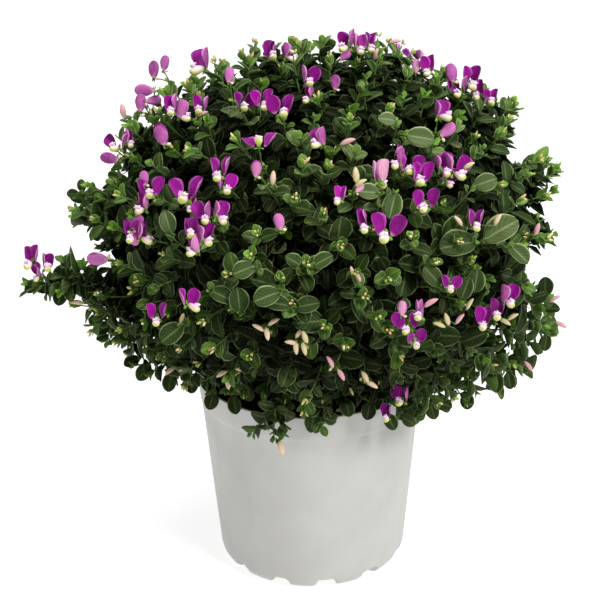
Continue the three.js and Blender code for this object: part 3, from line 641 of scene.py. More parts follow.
def petal_material(name, deep, light, faded, base_tone, margin, vein_share):
    """A petal face: a deep colour that pales with age and to its foot and edge, with fine veins."""
    nodes = Nodes(name)
    along, wide, tone_and_painted_light = nodes.marks()
    aside = nodes.math("ABSOLUTE", wide)
    tone = nodes.mix(tone_and_painted_light, deep, light)
    tone = nodes.mix(nodes.ramp(tone_and_painted_light, 0.72, 0.95, 0.0, 0.6), tone, faded)
    fan = nodes.math("SINE", nodes.math("MULTIPLY", nodes.math("POWER", aside, 0.8), 26.0))
    vein = nodes.ramp(fan, 0.5, 1.0, 0.0, vein_share)
    tone = nodes.mix(vein, tone, deep)
    foot = nodes.ramp(along, 0.0, 0.2, 0.7, 0.0)
    tone = nodes.mix(foot, tone, base_tone)
    edge = nodes.ramp(aside, 0.76, 1.0, 0.0, 0.7)
    tone = nodes.mix(edge, tone, margin)
    cloud = nodes.ramp(nodes.noise(240.0, 2.0), 0.35, 0.7, 0.0, 0.3)
    tone = nodes.mix(cloud, tone, light)
    nodes.bump(fan, 0.2, 0.0004)
    return nodes.finish(tone, 0.55, 0.15, 0.1)


def tone_material(name, first, second, third, roughness, bump=0.2):
    """Small growths that differ in tone from one to the next, and darken towards one end."""
    nodes = Nodes(name)
    along, _, tone_and_painted_light = nodes.marks()
    tone = nodes.mix(nodes.ramp(tone_and_painted_light, 0.2, 0.5), first, second)
    tone = nodes.mix(nodes.ramp(tone_and_painted_light, 0.6, 0.9), tone, third)
    tone = nodes.mix(nodes.ramp(along, 0.0, 0.45, 0.55, 0.0), tone, first)
    grain = nodes.noise(300.0, 3.0)
    tone = nodes.mix(nodes.ramp(grain, 0.4, 0.8, 0.0, 0.35), tone, third)
    nodes.bump(grain, bump, 0.0005)
    return nodes.finish(tone, roughness, 0.3)


def keel_material():
    """The keel: pinkish white above, and greenish cream along its underside and tip."""
    nodes = Nodes("keel")
    along, under, tone_and_painted_light = nodes.marks()
    pink = nodes.mix(tone_and_painted_light, rgb(226, 190, 208), rgb(234, 214, 216))
    tone = nodes.mix(nodes.ramp(under, 0.3, 0.65), pink, rgb(220, 212, 164))
    tone = nodes.mix(nodes.ramp(under, 0.65, 1.0), tone, rgb(180, 190, 92))
    tone = nodes.mix(nodes.ramp(along, 0.0, 0.35, 0.8, 0.0), tone, rgb(168, 182, 92))
    grain = nodes.noise(300.0, 3.0)
    tone = nodes.mix(nodes.ramp(grain, 0.5, 0.8, 0.0, 0.3), tone, rgb(214, 168, 196))
    nodes.bump(grain, 0.2, 0.0005)
    return nodes.finish(tone, 0.5, 0.3)


def stem_material():
    """Stems: green near the tip, and grey-brown bark further in."""
    nodes = Nodes("green_stem")
    age = nodes.attribute("age").outputs["Fac"]
    grain = nodes.noise(200.0, 4.0, 0.6, (1.0, 1.0, 0.3))
    bark = nodes.mix(grain, rgb(52, 42, 30), rgb(92, 78, 56))
    green = nodes.mix(grain, rgb(58, 86, 34), rgb(92, 122, 54))
    nodes.bump(grain, 0.5, 0.0006)
    return nodes.finish(nodes.mix(age, bark, green), 0.7, 0.3)


def bark_material():
    nodes = Nodes("trunk_bark")
    fissures = nodes.noise(90.0, 6.0, 0.65, (1.0, 1.0, 0.22))
    fine = nodes.noise(420.0, 4.0, 0.6)
    tone = nodes.mix(nodes.ramp(fissures, 0.35, 0.65), rgb(48, 37, 26), rgb(112, 94, 70))
    tone = nodes.mix(nodes.ramp(fine, 0.45, 0.75, 0.0, 0.4), tone, rgb(136, 122, 98))
    nodes.bump(nodes.math("ADD", fissures, nodes.math("MULTIPLY", fine, 0.4)), 0.9, 0.0016)
    return nodes.finish(tone, 0.85, 0.2)


def soil_material():
    nodes = Nodes("potting_mix")
    clumps = nodes.noise(120.0, 6.0, 0.7)
    fine = nodes.noise(700.0, 4.0, 0.7)
    tone = nodes.mix(nodes.ramp(clumps, 0.35, 0.7), rgb(28, 20, 15), rgb(66, 50, 37))
    tone = nodes.mix(nodes.ramp(fine, 0.55, 0.8, 0.0, 0.4), tone, rgb(84, 68, 50))
    nodes.bump(nodes.math("ADD", clumps, nodes.math("MULTIPLY", fine, 0.5)), 1.0, 0.003)
    return nodes.finish(tone, 0.95, 0.15)


def crumb_material():
    nodes = Nodes("bark_crumbs")
    _, _, tone_and_painted_light = nodes.marks()
    grain = nodes.noise(260.0, 4.0, 0.7)
    tone = nodes.mix(tone_and_painted_light, rgb(20, 14, 10), rgb(62, 46, 32))
    tone = nodes.mix(nodes.ramp(grain, 0.4, 0.8, 0.0, 0.6), tone, rgb(20, 14, 10))
    nodes.bump(grain, 0.8, 0.001)
    return nodes.finish(tone, 0.9, 0.2)


def white_plastic():
    """Moulded white plastic: faint flow clouding, a fine grain and a few long rubbed streaks."""
    nodes = Nodes("moulded_white")
    cloud = nodes.noise(14.0, 4.0, 0.6)
    streak = nodes.noise(60.0, 3.0, 0.6, (1.0, 1.0, 0.08))
    grain = nodes.noise(1400.0, 2.0, 0.5)
    tone = nodes.mix(nodes.ramp(cloud, 0.35, 0.7), rgb(176, 175, 170), rgb(185, 185, 181))
    tone = nodes.mix(nodes.ramp(streak, 0.55, 0.8, 0.0, 0.35), tone, rgb(168, 168, 162))
    nodes.bump(nodes.math("ADD", grain, nodes.math("MULTIPLY", cloud, 0.6)), 0.12, 0.0004)
    roughness = nodes.ramp(streak, 0.3, 0.75, 0.36, 0.5)
    return nodes.finish(tone, roughness, 0.45)


def black_plastic():
    """Thin black nursery plastic, a little dusty."""
    nodes = Nodes("nursery_black")
    dust = nodes.noise(70.0, 5.0, 0.65)
    tone = nodes.mix(nodes.ramp(dust, 0.4, 0.8, 0.0, 0.7), rgb(34, 32, 32), rgb(70, 66, 62))
    nodes.bump(dust, 0.2, 0.0005)
    roughness = nodes.ramp(dust, 0.3, 0.8, 0.32, 0.7)
    return nodes.finish(tone, roughness, 0.5)


# Leaf faces: tones for painted shade, middle and painted light, young growth, the pale edge, and the edge's
# strength
LEAF_UPPER = leaf_material("leaf_upper", rgb(9, 16, 3), rgb(46, 70, 25), rgb(90, 103, 60),
                           rgb(114, 170, 40), rgb(168, 186, 124), 0.9)
LEAF_UNDER = leaf_material("leaf_under", rgb(12, 22, 6), rgb(58, 82, 36), rgb(100, 116, 70),
                           rgb(112, 160, 50), rgb(156, 176, 116), 0.6)
STEM = stem_material()
WING_INSIDE = petal_material("wing_inside", rgb(88, 0, 84), rgb(182, 6, 168), rgb(190, 80, 160),
                             rgb(210, 160, 194), rgb(204, 96, 194), 0.35)
WING_OUTSIDE = petal_material("wing_outside", rgb(112, 32, 100), rgb(204, 112, 184),
                              rgb(212, 172, 170), rgb(202, 190, 140), rgb(224, 172, 208), 0.55)
KEEL = keel_material()
CREST = tone_material("crest", rgb(226, 196, 218), rgb(240, 222, 234), rgb(206, 160, 200), 0.6)
BUD = tone_material("bud", rgb(150, 174, 70), rgb(220, 204, 146), rgb(206, 172, 120), 0.55)
PALE_BUD = tone_material("pale_bud", rgb(188, 184, 126), rgb(208, 180, 154), rgb(196, 142, 154), 0.5)
FOLIAGE_SLOTS = [
    LEAF_UPPER, LEAF_UNDER, STEM, BUD, PALE_BUD, WING_INSIDE, WING_OUTSIDE, KEEL, CREST,
]
# The slots by number. The underside of a blade has the slot after that of its upper side.
UPPER_FACE, _, STEM_FACE, BUD_FACE, PALE_FACE, WING_FACE, _, KEEL_FACE, CREST_FACE = range(9)

LEAF = Blade([0.08, 0.26, 0.52, 0.77, 0.93], [0.44, 0.86, 1.0, 0.8, 0.38], 4)
BROAD_LEAF = Blade([0.04, 0.14, 0.28, 0.44, 0.6, 0.75, 0.87, 0.95],
                   [0.3, 0.62, 0.86, 0.98, 1.0, 0.88, 0.65, 0.38], 6)
WING = Blade([0.04, 0.13, 0.29, 0.5, 0.7, 0.86, 0.96], [0.24, 0.46, 0.8, 1.0, 0.98, 0.76, 0.42], 7)
SEPAL = Blade([0.25, 0.6, 0.85], [0.8, 0.95, 0.5], 3)
SMALL_BUD = Spindle([0.15, 0.5, 0.85], [0.7, 1.0, 0.6], 6)
LONG_BUD = Spindle([0.06, 0.22, 0.48, 0.74, 0.92], [0.4, 0.85, 1.0, 0.8, 0.42], 8)
# The line of a keel, forwards and upwards from the heart of its flower, and its half widths
# and half heights there
KEEL_ROUTE = [(0, 0.6), (1.6, 0.4), (3.2, -0.2), (4.8, -0.9), (6.2, -1.2), (7.2, -0.9), (7.7, -0.4)]
KEEL_HALVES = np.array([(0.6, 0.7), (1.3, 1.5), (2.0, 2.1), (2.5, 2.5), (2.5, 2.5), (1.8, 1.8), (0.8, 0.8)])


# What the front view shows: flowers, buds and leafy tips by column and row
@dataclass
class Flower:
    """A flower at a column and row.

    It faces the eye, or turns by face degrees to the right and by pitch degrees up, and
    leans to the right by lean degrees. Its wings spread by an angle from upright, and its
    tone runs from deep 0 to pale 1.
    """

    column: float
    row: float
    face: float = 0.0
    spread: float = 36.0
    pitch: float = 8.0
    size: float = 1.0
    tone: float = 0.3
    lean: float = 0.0


def shut(column, row, tone=0.7, size=0.85, lean=0.0, face=75.0):
    """A closed flower, its two wings folded together over the keel."""
    return Flower(column, row, face=face, spread=-3.0, pitch=10.0, size=size, tone=tone, lean=lean)


@dataclass
class PaleBud:
    """A narrow bud at a column and row, which leans from upright by degrees."""

    column: float
    row: float
    lean: float = 0.0
    tone: float = 0.4
    size: float = 1.0


STRAY_SPRAYS = {
    "bloom_01": [Flower(31, 255, -20, 28, size=1.1), Flower(47, 261, 20, 18),
                 Flower(36, 270, -35, 30, -20, 0.8)],
    "bloom_02": [Flower(402, 394, -30, 36, tone=0.5), Flower(387, 411, 0, 24, size=0.85, tone=0.1)],
}
FRONT_SPRAYS = [
    [shut(155, 70, 0.15, 1.1), shut(166, 64, 0.45, 0.9, 8)],
    [Flower(204, 59, -60, 30, size=1.4)],
    [shut(146, 89, 0.4, 1.1, -88), shut(142, 104, 0.5, 1.0), shut(153, 102, 0.75, 0.9, 80),
     PaleBud(123, 111, -10, 0.8, 1.2)],
    [Flower(171, 104, -20, 26, tone=0.5), Flower(181, 110, 75, 16, tone=0.7), Flower(200, 104, 0, 34),
     PaleBud(203, 114, 70, 0.8, 0.9)],
    [Flower(118, 141, -30, 36, tone=0.1), Flower(129, 137, 25, 24, size=0.8),
     shut(111, 157, 0.15, 1.0, -80)],
    [Flower(243, 100, 25, 48), Flower(263, 98, 10, 34, tone=0.5), shut(231, 76, 0.8)],
    [Flower(281, 105, 0, 52, size=1.1)],
    [Flower(271, 50, -15, 22), Flower(288, 51, 62, 16, size=0.9)],
    [Flower(259, 141, 0, 62, 62), shut(258, 170, 0.9, 0.9)],
    [Flower(219, 167, -10, 34, size=1.1), Flower(225, 182, 20, 30, tone=0.5)],
    [Flower(150, 187, 0, 50, size=1.05), Flower(143, 202, -25, 26, tone=0.8), shut(146, 179, 0.6, 0.8, -8)],
    [Flower(185, 189, -20, 32, size=1.3), Flower(189, 201, 10, 30, -25, 0.7, 0.6)],
    [Flower(205, 211, -32, 32), Flower(219, 210, 36, 28)],
    [Flower(191, 227, 0, 36), Flower(205, 234, 35, 26), Flower(196, 244, -62, 30, tone=0.8)],
    [Flower(131, 229, -20, 36), Flower(142, 231, 42, 24, tone=0.6), shut(138, 224, 0.4, 0.9, 35),
     shut(132, 238, 0.6, 0.8, 160)],
    [Flower(189, 297, 46, 36)],
    [Flower(157, 311, 0, 46, 0, 1.0, 0.6)],
    [Flower(347, 40, -32, 32, size=1.1), Flower(358, 42, 15, 24, tone=0.8), Flower(369, 40, 0, 24),
     shut(346, 57, 0.6, 0.8, 50), PaleBud(376, 54, 20, 0.8)],
    [Flower(309, 75, 22, 36), Flower(308, 92, -30, 14, tone=0.8, size=0.85), shut(337, 83, 0.1)],
    [Flower(429, 64, 0, 26, tone=0.5), shut(418, 67, 0.8, 0.8), PaleBud(395, 42, 80, 0.8)],
    [shut(453, 74, 0.5, 1.1, -10), Flower(460, 85, -32, 30), Flower(470, 76, 10, 34, size=1.15),
     Flower(478, 88, -5, 26), Flower(490, 96, 0, 28, size=0.9)],
    [Flower(440, 109, 50, 36, size=1.1), shut(448, 132, 0.7, 1.1, 45)],
    [Flower(321, 137, -56, 24), PaleBud(348, 142, 70, 0.8, 1.2)],
    [Flower(380, 172, 165, 22, 0, 1.25, 0.9)],
    [Flower(397, 155, -25, 24), Flower(408, 163, 0, 44), Flower(421, 172, 12, 42, size=1.2, tone=0.5)],
    [Flower(443, 163, 32, 30), Flower(456, 165, 46, 38, size=1.15), Flower(449, 176, 30, 30, -20, 0.85),
     PaleBud(469, 166, 60, 0.2)],
    [Flower(425, 198, 0, 52, size=1.05)],
    [Flower(340, 193, 0, 30, size=0.8, tone=0.8), PaleBud(356, 175, -5, 0.3, 1.2),
     PaleBud(361, 183, 60, 0.2), shut(361, 190, 0.9, 0.6, 40)],
    [Flower(364, 219, 0, 14), Flower(386, 225, 0, 34, size=1.3)],
    [Flower(475, 218, 0, 32, tone=0.1), PaleBud(458, 221, -40, 0.5), PaleBud(498, 220, 30, 0.4)],
    [Flower(450, 282, 0, 34, size=0.8)],
    [Flower(420, 309, 0, 18), shut(404, 309, 0.9), Flower(408, 321, -10, 48, -10, tone=0.2),
     Flower(416, 337, 10, 42, -22, 0.85, 0.4), PaleBud(431, 303, 60, 0.9, 1.2)],
    [Flower(507, 294, 40, 36), Flower(497, 307, 0, 30, tone=0.1), Flower(483, 316, 0, 26)],
]
LONE_BUDS = [
    [shut(163, 136, 0.3, 1.2, -20)],
    [shut(281, 222, 0.8, 0.95, -15)],
    [shut(99, 258, 0.85, 1.2, -85)],
    [PaleBud(258, 328, -60), PaleBud(267, 334, 170, 0.5), PaleBud(274, 322, 60, 0.5)],
    [PaleBud(291, 343, -80), PaleBud(300, 333, 40), PaleBud(296, 348, 175)],
    [PaleBud(222, 374, -120), PaleBud(228, 383, 175), PaleBud(242, 370, 100)],
    [PaleBud(330, 362, -30, 0.9), PaleBud(341, 375, 150, 0.9)],
    [PaleBud(365, 377, 150), PaleBud(372, 385, 120)],
    [PaleBud(305, 337, -20, 0.3), PaleBud(304, 349, 165, 0.3)],
    [PaleBud(358, 277, 150, 0.8, 0.8), PaleBud(352, 270, -20, 0.7, 0.6)],
    [PaleBud(77, 303, -85, 0.5, 1.15)],
    [PaleBud(182, 318, 20, 0.3, 0.8)],
    [PaleBud(170, 371, -130, 0.5)],
    [PaleBud(273, 178, 5, 0.5, 1.1)],
    [PaleBud(555, 299, 60, 0.8)],
    [PaleBud(561, 325, 120, 0.8)],
    [PaleBud(528, 366, -40, 0.95)],
    [PaleBud(513, 317, 60, 0.3), PaleBud(505, 322, 120, 0.3)],
    [PaleBud(470, 304, 30, 0.3)],
    [PaleBud(447, 319, -20, 0.3), PaleBud(439, 325, -70, 0.3), PaleBud(460, 319, 40, 0.8)],
    [PaleBud(537, 229, 20, 0.9)],
]
# Stems that stray out of the bush: column, row and depth of each step
STRAYS = [
    ([(110, 290, -40), (84, 280, -42), (60, 287, -44), (38, 281, -45)], "bloom_01"),
    ([(75, 305, -20)], None),
    ([(118, 338, -10)], None),
    ([(134, 366, -20)], None),
    ([(75, 195, 10)], None),
    ([(72, 217, 0)], None),
    ([(557, 169, 0)], None),
    ([(553, 190, -10)], None),
    ([(550, 236, -20)], None),
    ([(550, 298, -20)], None),
    ([(553, 330, 0)], None),
    ([(528, 372, 10)], None),
    ([(302, 46, 60)], None),
    ([(330, 36, 70)], None),
    ([(410, 52, 60)], None),
    ([(275, 410, -104), (274, 440, -103)], None),
    ([(322, 428, -104)], None),
    ([(393, 401, -84)], "bloom_02"),
    ([(418, 414, -80)], None),
]
# Shoots that fill the skirt of the bush and hang at the rim: column, row and depth
SKIRT_TIPS = [
    (190, 384, -35), (208, 384, -58), (226, 390, -72), (244, 392, -84), (265, 392, -92),
    (286, 396, -96), (303, 388, -95), (322, 396, -97), (345, 385, -90), (380, 378, -80),
    (405, 383, -75), (428, 384, -70), (452, 392, -45), (476, 393, -32), (499, 386, -15),
    (519, 366, 0), (541, 344, 0), (548, 312, -8), (440, 372, -85), (465, 372, -60), (490, 365, -40),
    (150, 374, -25), (172, 380, -30), (128, 352, -20), (112, 330, -25), (100, 302, -30),
    (122, 312, -40), (140, 340, -45), (165, 358, -60), (515, 106, 10), (436, 404, -70),
    (466, 402, -45), (418, 396, -78), (488, 378, -30),
]
# Small side shoots that hang in front of the pot or ride on the longest straying stem, each
# with its youth and three places that its stem is bent through
SPRIGS = [
    (0.9, [(290, 406, -88), (262, 420, -103), (250, 434, -104)]),
    (0.9, [(280, 402, -90), (278, 420, -104), (283, 434, -104)]),
    (0.6, [(318, 398, -88), (326, 410, -101), (332, 418, -102)]),
    (1.6, [(92, 292, -41), (85, 284, -42), (83, 262, -43)]),
    (1.6, [(74, 286, -43), (66, 286, -47), (61, 291, -53)]),
    (0.3, [(106, 292, -40), (100, 306, -41), (98, 322, -41)]),
    (0.8, [(52, 284, -44), (40, 290, -45), (26, 284, -47)]),
    (0.3, [(118, 306, -38), (110, 326, -38), (107, 342, -36)]),
    (0.1, [(74, 288, -43), (66, 280, -43), (64, 258, -43)]),
    (0.3, [(96, 290, -41), (94, 276, -41), (98, 262, -40)]),
]
# Broad leaves that stand out in the front view: column, row and depth of the foot, turn from
# upright in degrees, and length. The ones without a depth lie on the front of the bush.
BROAD_LEAVES = [
    (476, 242, None, -97, 25.0), (484, 240, None, 58, 26.0), (510, 245, None, 135, 17.0),
    (290, 306, None, -78, 16.0), (295, 308, None, 75, 16.5), (210, 290, None, 115, 17.0),
    (280, 292, None, -108, 18.5), (240, 313, None, -5, 17.0), (254, 266, None, -110, 15.0),
    (313, 266, None, 60, 14.5), (406, 135, None, 100, 19.0), (396, 192, None, 195, 18.5),
    (380, 193, None, -85, 15.0), (397, 121, None, -80, 13.0), (461, 300, None, 20, 16.0),
    (441, 286, None, -40, 17.0), (487, 333, None, -108, 19.0), (478, 269, None, 190, 16.0),
    (171, 234, None, -15, 16.0), (183, 325, None, -128, 19.0), (118, 333, None, 95, 16.0),
    (474, 186, None, 72, 16.0), (545, 297, -15, 0, 15.0), (547, 334, -5, 190, 13.0),
    (543, 309, -10, 86, 12.5), (508, 372, -15, 172, 13.0), (497, 372, -20, 184, 15.5),
    (467, 392, -35, 180, 13.0), (434, 400, -70, 112, 14.0), (423, 401, -76, -5, 16.0),
    (150, 364, -20, 218, 15.0), (172, 372, -32, 192, 15.0), (190, 376, -38, 172, 13.0),
    (140, 358, -15, -112, 13.0), (102, 205, 5, -75, 13.0), (84, 202, 8, -60, 12.0),
    (526, 262, -20, 110, 13.0), (233, 395, -80, 170, 14.0), (214, 391, -65, 195, 14.0),
    (79, 194, 8, -88, 9.0), (83, 192, 8, -10, 9.5), (82, 206, 6, 202, 12.0),
    (86, 212, 5, -130, 14.0), (430, 402, -70, 165, 13.0), (440, 398, -65, 148, 12.0),
    (345, 399, -93, 165, 13.0), (370, 402, -88, 190, 13.0), (386, 414, -86, 150, 13.0),
    (402, 417, -82, 120, 11.0), (418, 414, -80, 165, 11.0),
]
# Leaves of the longest straying stem and its side shoots, given in the same way
STRAY_LEAVES = [
    (44, 283, -45, -112, 15.0), (61, 287, -44, -97, 14.0), (62, 288, -44, 192, 13.0),
    (60, 284, -44, 4, 14.0), (97, 314, -41, 205, 9.5), (110, 327, -38, -105, 12.5),
    (108, 338, -37, 185, 9.5), (100, 286, -41, -20, 12.0), (112, 290, -40, 8, 12.0),
    (84, 282, -42, 170, 13.0), (36, 281, -45, 140, 11.0),
]
# The dry tip that hangs from the second of the side shoots
DRY_TIP = PaleBud(281, 448, 165, 0.42, 1.2)
# The outline that the leaves keep to in the front view, by column and row
LEAF_OUTLINE = [
    (150, 84), (188, 76), (215, 62), (236, 54), (250, 43), (300, 36), (340, 33), (395, 44),
    (412, 56), (450, 70), (490, 88), (522, 94), (526, 120), (514, 130), (524, 141), (507, 150),
    (507, 161), (524, 165), (534, 150), (546, 148), (564, 162), (566, 188), (554, 196), (548, 204),
    (524, 206), (532, 213), (546, 212), (560, 238), (557, 247), (542, 255), (524, 251), (528, 262),
    (531, 273), (526, 281), (544, 278), (556, 290), (560, 300), (560, 334), (546, 350), (530, 380),
    (500, 400), (472, 414), (440, 420), (360, 440), (300, 462), (240, 462), (200, 402), (180, 392),
    (148, 384), (128, 368), (122, 352), (100, 346), (68, 308), (32, 314), (14, 294), (16, 238),
    (60, 240), (90, 254), (92, 238), (68, 226), (62, 184), (76, 177), (97, 184), (101, 195),
    (105, 184), (111, 168), (118, 160), (112, 150), (116, 116), (132, 96),
]
# Leafy tips that stand out in the front view: column and row
LEAFY_TIPS = [
    (295, 198), (323, 214), (329, 167), (304, 164), (257, 234), (306, 264), (280, 279), (251, 256),
    (294, 303), (356, 272), (364, 297), (413, 237), (388, 278), (388, 329), (325, 326), (378, 317),
    (235, 307), (215, 347), (457, 241), (504, 232), (433, 262), (340, 245), (230, 275), (205, 320),
    (350, 120), (390, 110), (330, 60), (250, 60), (190, 150), (235, 140), (520, 200), (470, 260),
    (165, 255), (120, 195), (95, 220), (140, 280), (250, 355), (345, 345), (400, 355), (378, 38),
    (165, 92), (188, 86), (222, 64), (242, 54), (300, 46), (322, 40), (388, 44), (412, 56),
    (512, 100), (538, 160), (556, 172), (100, 312), (92, 330), (118, 342), (186, 384), (436, 400),
    (452, 396), (345, 412), (545, 196), (545, 238), (110, 160), (90, 186), (508, 120), (470, 84),
    (402, 46),
]


# Where things stand
def bloom_depth(node):
    """The distance from the eye, along the view, of the middle of a CAD bloom."""
    low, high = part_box(node)
    middle = (np.array(low) + np.array(high)) / 2 / MM
    return (middle - EYE) @ FORWARD


def place_at(column, row, deep):
    way = sight(column, row)
    return EYE + way * deep / (way @ FORWARD)


@dataclass
class Spray:
    """Flowers and buds that share a root on the tip of a shoot."""

    items: list
    places: list
    root: np.ndarray
    node: str = None


def spray_at(items, deep, node=None):
    places = [place_at(item.column, item.row, deep) for item in items]
    centre = np.mean(places, axis=0)
    root = centre + unit(FORK - centre) * STALK_LENGTH
    return Spray(items, places, root, node)


def front_sprays():
    sprays = []
    for i, items in enumerate(FRONT_SPRAYS):
        node = f"bloom_{i + 3:02d}"
        sprays.append(spray_at(items, bloom_depth(node), node))
    for items in LONE_BUDS:
        first = items[0]
        deep = (meet_bush(EYE, sight(first.column, first.row), 0.97) - EYE) @ FORWARD
        sprays.append(spray_at(items, deep))
    return sprays


@dataclass
class Shoot:
    """A stem from root to tip along a path, with leaves on the last stretch of it."""

    path: np.ndarray
    leaves: int
    scale: float = 1.0
    youth: float = 0.5
    buds: int = 0
    leafy: float = None

    @property
    def tip(self):
        return self.path[-1]


LIMB_ENDS = np.array([on_bush(sphere_point(i, LIMBS, 0.9, -0.55), LIMB_REACH) for i in range(LIMBS)])


def shoot_to(tip, rng, leaves=SHOOT_LEAVES, root=None, **details):
    """A shoot whose stem leaves the nearest limb and bends up and out to its tip."""
    if root is None:
        root = LIMB_ENDS[np.argmin(np.linalg.norm(LIMB_ENDS - tip, axis=1))]
    reach = np.linalg.norm(tip - root)
    out = outwards_at(tip)
    middle = tip - unit(out + UP * 0.25 + rng.normal(0, 0.22, 3)) * reach * 0.5
    return Shoot(curve(root, middle, tip, 10), leaves, **details)


def stray_shoots(rng):
    """The straying stems, each leafy all along, and the sprays that two of them carry."""
    shoots, sprays = [], []
    for steps, node in STRAYS:
        points = [at_depth(*step) for step in steps]
        start = meet_bush(points[0], unit(FORK - points[0]), 0.8)
        path = curve(FORK + (start - FORK) * 0.7, start, points[0], 8)
        for a, b in zip(points, points[1:]):
            bend = (a + b) / 2 + (a - path[-2]) * 0.15
            path = np.concatenate([path, curve(a, bend, b, 6)[1:]])
        length = np.linalg.norm(np.diff(path, axis=0), axis=1).sum()
        leafy = min(length * STRAY_SHARE, STRAY_LEAFY + STRAY_STEP * (len(points) - 1))
        hangs = not node and points[0][1] < FRONT_OF_POT
        scale = HANGING_SCALE if hangs else STRAY_SCALE
        shoots.append(Shoot(path, int(leafy / STRAY_PITCH), scale, 1.0, 0, leafy))
        if node:
            spray = spray_at(STRAY_SPRAYS[node], bloom_depth(node), node)
            spray.root = path[-1]
            sprays.append(spray)
    return shoots, sprays


def back_sprays(rng):
    """Sprays on the far side, two or three flowers each, where the CAD blooms stand."""
    sprays = []
    for i in range(BACK_SPRAYS):
        node = f"bloom_{len(FRONT_SPRAYS) + 3 + i:02d}"
        low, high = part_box(node)
        centre = (np.array(low) + np.array(high)) / 2 / MM
        out = outwards_at(centre)
        u, v = frame_about(out)
        items, places = [], []
        for k in range(2 + i % 2):
            angle = math.radians(40 + 180 * k)
            offset = swung(u, v, angle) * (FAR_APART if k < 2 else FAR_THIRD_APART)
            place = centre + offset - UP * FAR_DOWN - out * FAR_IN
            places.append(place + rng.normal(0, 1.5, 3))
            spread, tone = rng.uniform(20, 50), rng.uniform(0.1, 0.7)
            items.append(Flower(0, 0, spread=spread, tone=tone, size=FAR_SIZE))
        root = centre + unit(FORK - centre) * STALK_LENGTH
        sprays.append(Spray(items, places, root, node))
    return sprays


def filler_shoots(taken, rng):
    """Leafy shoots over the whole bush, wherever no other tip is near."""
    shoots = []
    tips = list(taken)
    for i in range(SHOOT_TRIES):
        way = sphere_point(i, SHOOT_TRIES, 0.99, -0.84)
        reach = FILLER_REACH + rng.normal(0, 0.03)
        tip = on_bush(unit(way + rng.normal(0, 0.035, 3)), min(reach, 1.02))
        over_pot = math.hypot(tip[0], tip[1]) < POT_TOP_RADIUS + RIM_CLEAR
        too_low = tip[2] < POT_HEIGHT + (RIM_LIFT if over_pot else 0)
        crowded = np.min(np.linalg.norm(np.array(tips) - tip, axis=1)) < SHOOT_APART
        column, row, _ = seen(tip[None])
        if inside_outline(column, row, LEAF_OUTLINE)[0] and not too_low and not crowded:
            tips.append(tip)
            young = rng.random() ** 2
            buds = int(rng.integers(2, 6)) if rng.random() < FILLER_BUDS else 0
            shoots.append(shoot_to(tip, rng, scale=rng.uniform(0.85, 1.15), youth=young, buds=buds))
    return shoots


def along_path(path, back):
    """Points and directions at distances back from the end of a path."""
    steps = np.linalg.norm(np.diff(path, axis=0), axis=1)
    gone = np.concatenate([[0], np.cumsum(steps)])
    at = np.clip(gone[-1] - back, 0, gone[-1])
    points = np.stack([np.interp(at, gone, path[:, k]) for k in range(3)], axis=1)
    tangents = np.gradient(path, axis=0)
    ways = np.stack([np.interp(at, gone, tangents[:, k]) for k in range(3)], axis=1)
    return points, unit(ways)


LEAF_FIELDS = ("base", "rib", "normal", "length", "width", "cup", "bend", "tone_and_painted_light", "age")


def leaves_of(shoot, rng):
    """The leaves of a shoot, in a spiral that opens from the tip down the stem."""
    count = shoot.leaves
    order = np.arange(count)
    pitch = LEAF_PITCH if shoot.leafy is None else shoot.leafy / count
    points, ways = along_path(shoot.path, LEAF_FIRST + pitch * order * np.minimum(1, 0.4 + order / 8))
    grown = smooth(order + 0.5, -1.0, GROWING)
    turns = rng.uniform(0, 2 * math.pi) + GOLDEN_ANGLE * order + rng.normal(0, 0.15, count)
    out = swung(*frame_about(ways), turns)
    rise = np.radians(mixed(YOUNG_RISE, OLD_RISE, grown) + rng.normal(0, 9, count))
    rib = swung(ways, out, rise) + outwards_at(points) * 0.12
    rib = unit(rib + rng.normal(0, 0.06, (count, 3)))
    normal = swung(-out, ways, rise) + UP * LEAF_TO_LIGHT
    normal = across(normal + rng.normal(0, 0.14, (count, 3)), rib)
    large = mixed(1.0, LARGE_LEAF, rng.random(count) < LARGE_SHARE * (height_share(shoot.tip) < 0.5))
    length = LEAF_LENGTH * shoot.scale * mixed(YOUNG_LENGTH, 1.0, grown) * rng.uniform(0.72, 1.15, count)
    length = length * large
    fresh = 0.2 + shoot.youth * 0.8 + 0.75 * height_share(shoot.tip) + 0.6 * side_share(shoot.tip)
    age = np.clip((1 - grown) ** 1.6 * fresh, 0, 1) * rng.uniform(0.7, 1.0, count)
    return {
        "base": points + out * 0.5,
        "rib": rib,
        "normal": normal,
        "length": length,
        "width": length * LEAF_WIDTH * rng.uniform(0.9, 1.12, count),
        "cup": rng.uniform(0.25, 0.6, count),
        "bend": rng.uniform(-0.1, 0.45, count) * grown,
        "tone_and_painted_light": rng.random(count),
        "age": age,
    }


def foot_of(column, row, depth):
    if depth is None:
        return meet_bush(EYE, sight(column, row), 0.99)
    return at_depth(column, row, depth)


def broad_leaves(places, rng):
    """Leaves laid where the front view shows them, facing the eye and the light."""
    count = len(places)
    turns = np.radians([place[3] for place in places])
    rib = unit(swung(ABOVE, RIGHT, turns) - FORWARD * 0.2)
    length = np.array([place[4] for place in places])
    return {
        "base": np.array([foot_of(*place[:3]) for place in places]),
        "rib": rib,
        "normal": across(UP * 0.5 - FORWARD + rng.normal(0, 0.2, (count, 3)), rib),
        "length": length,
        "width": length * rng.uniform(0.7, 0.82, count),
        "cup": rng.uniform(0.25, 0.5, count),
        "bend": rng.uniform(0.05, 0.35, count),
        "tone_and_painted_light": rng.uniform(0, 0.6, count),
        "age": np.zeros(count),
    }


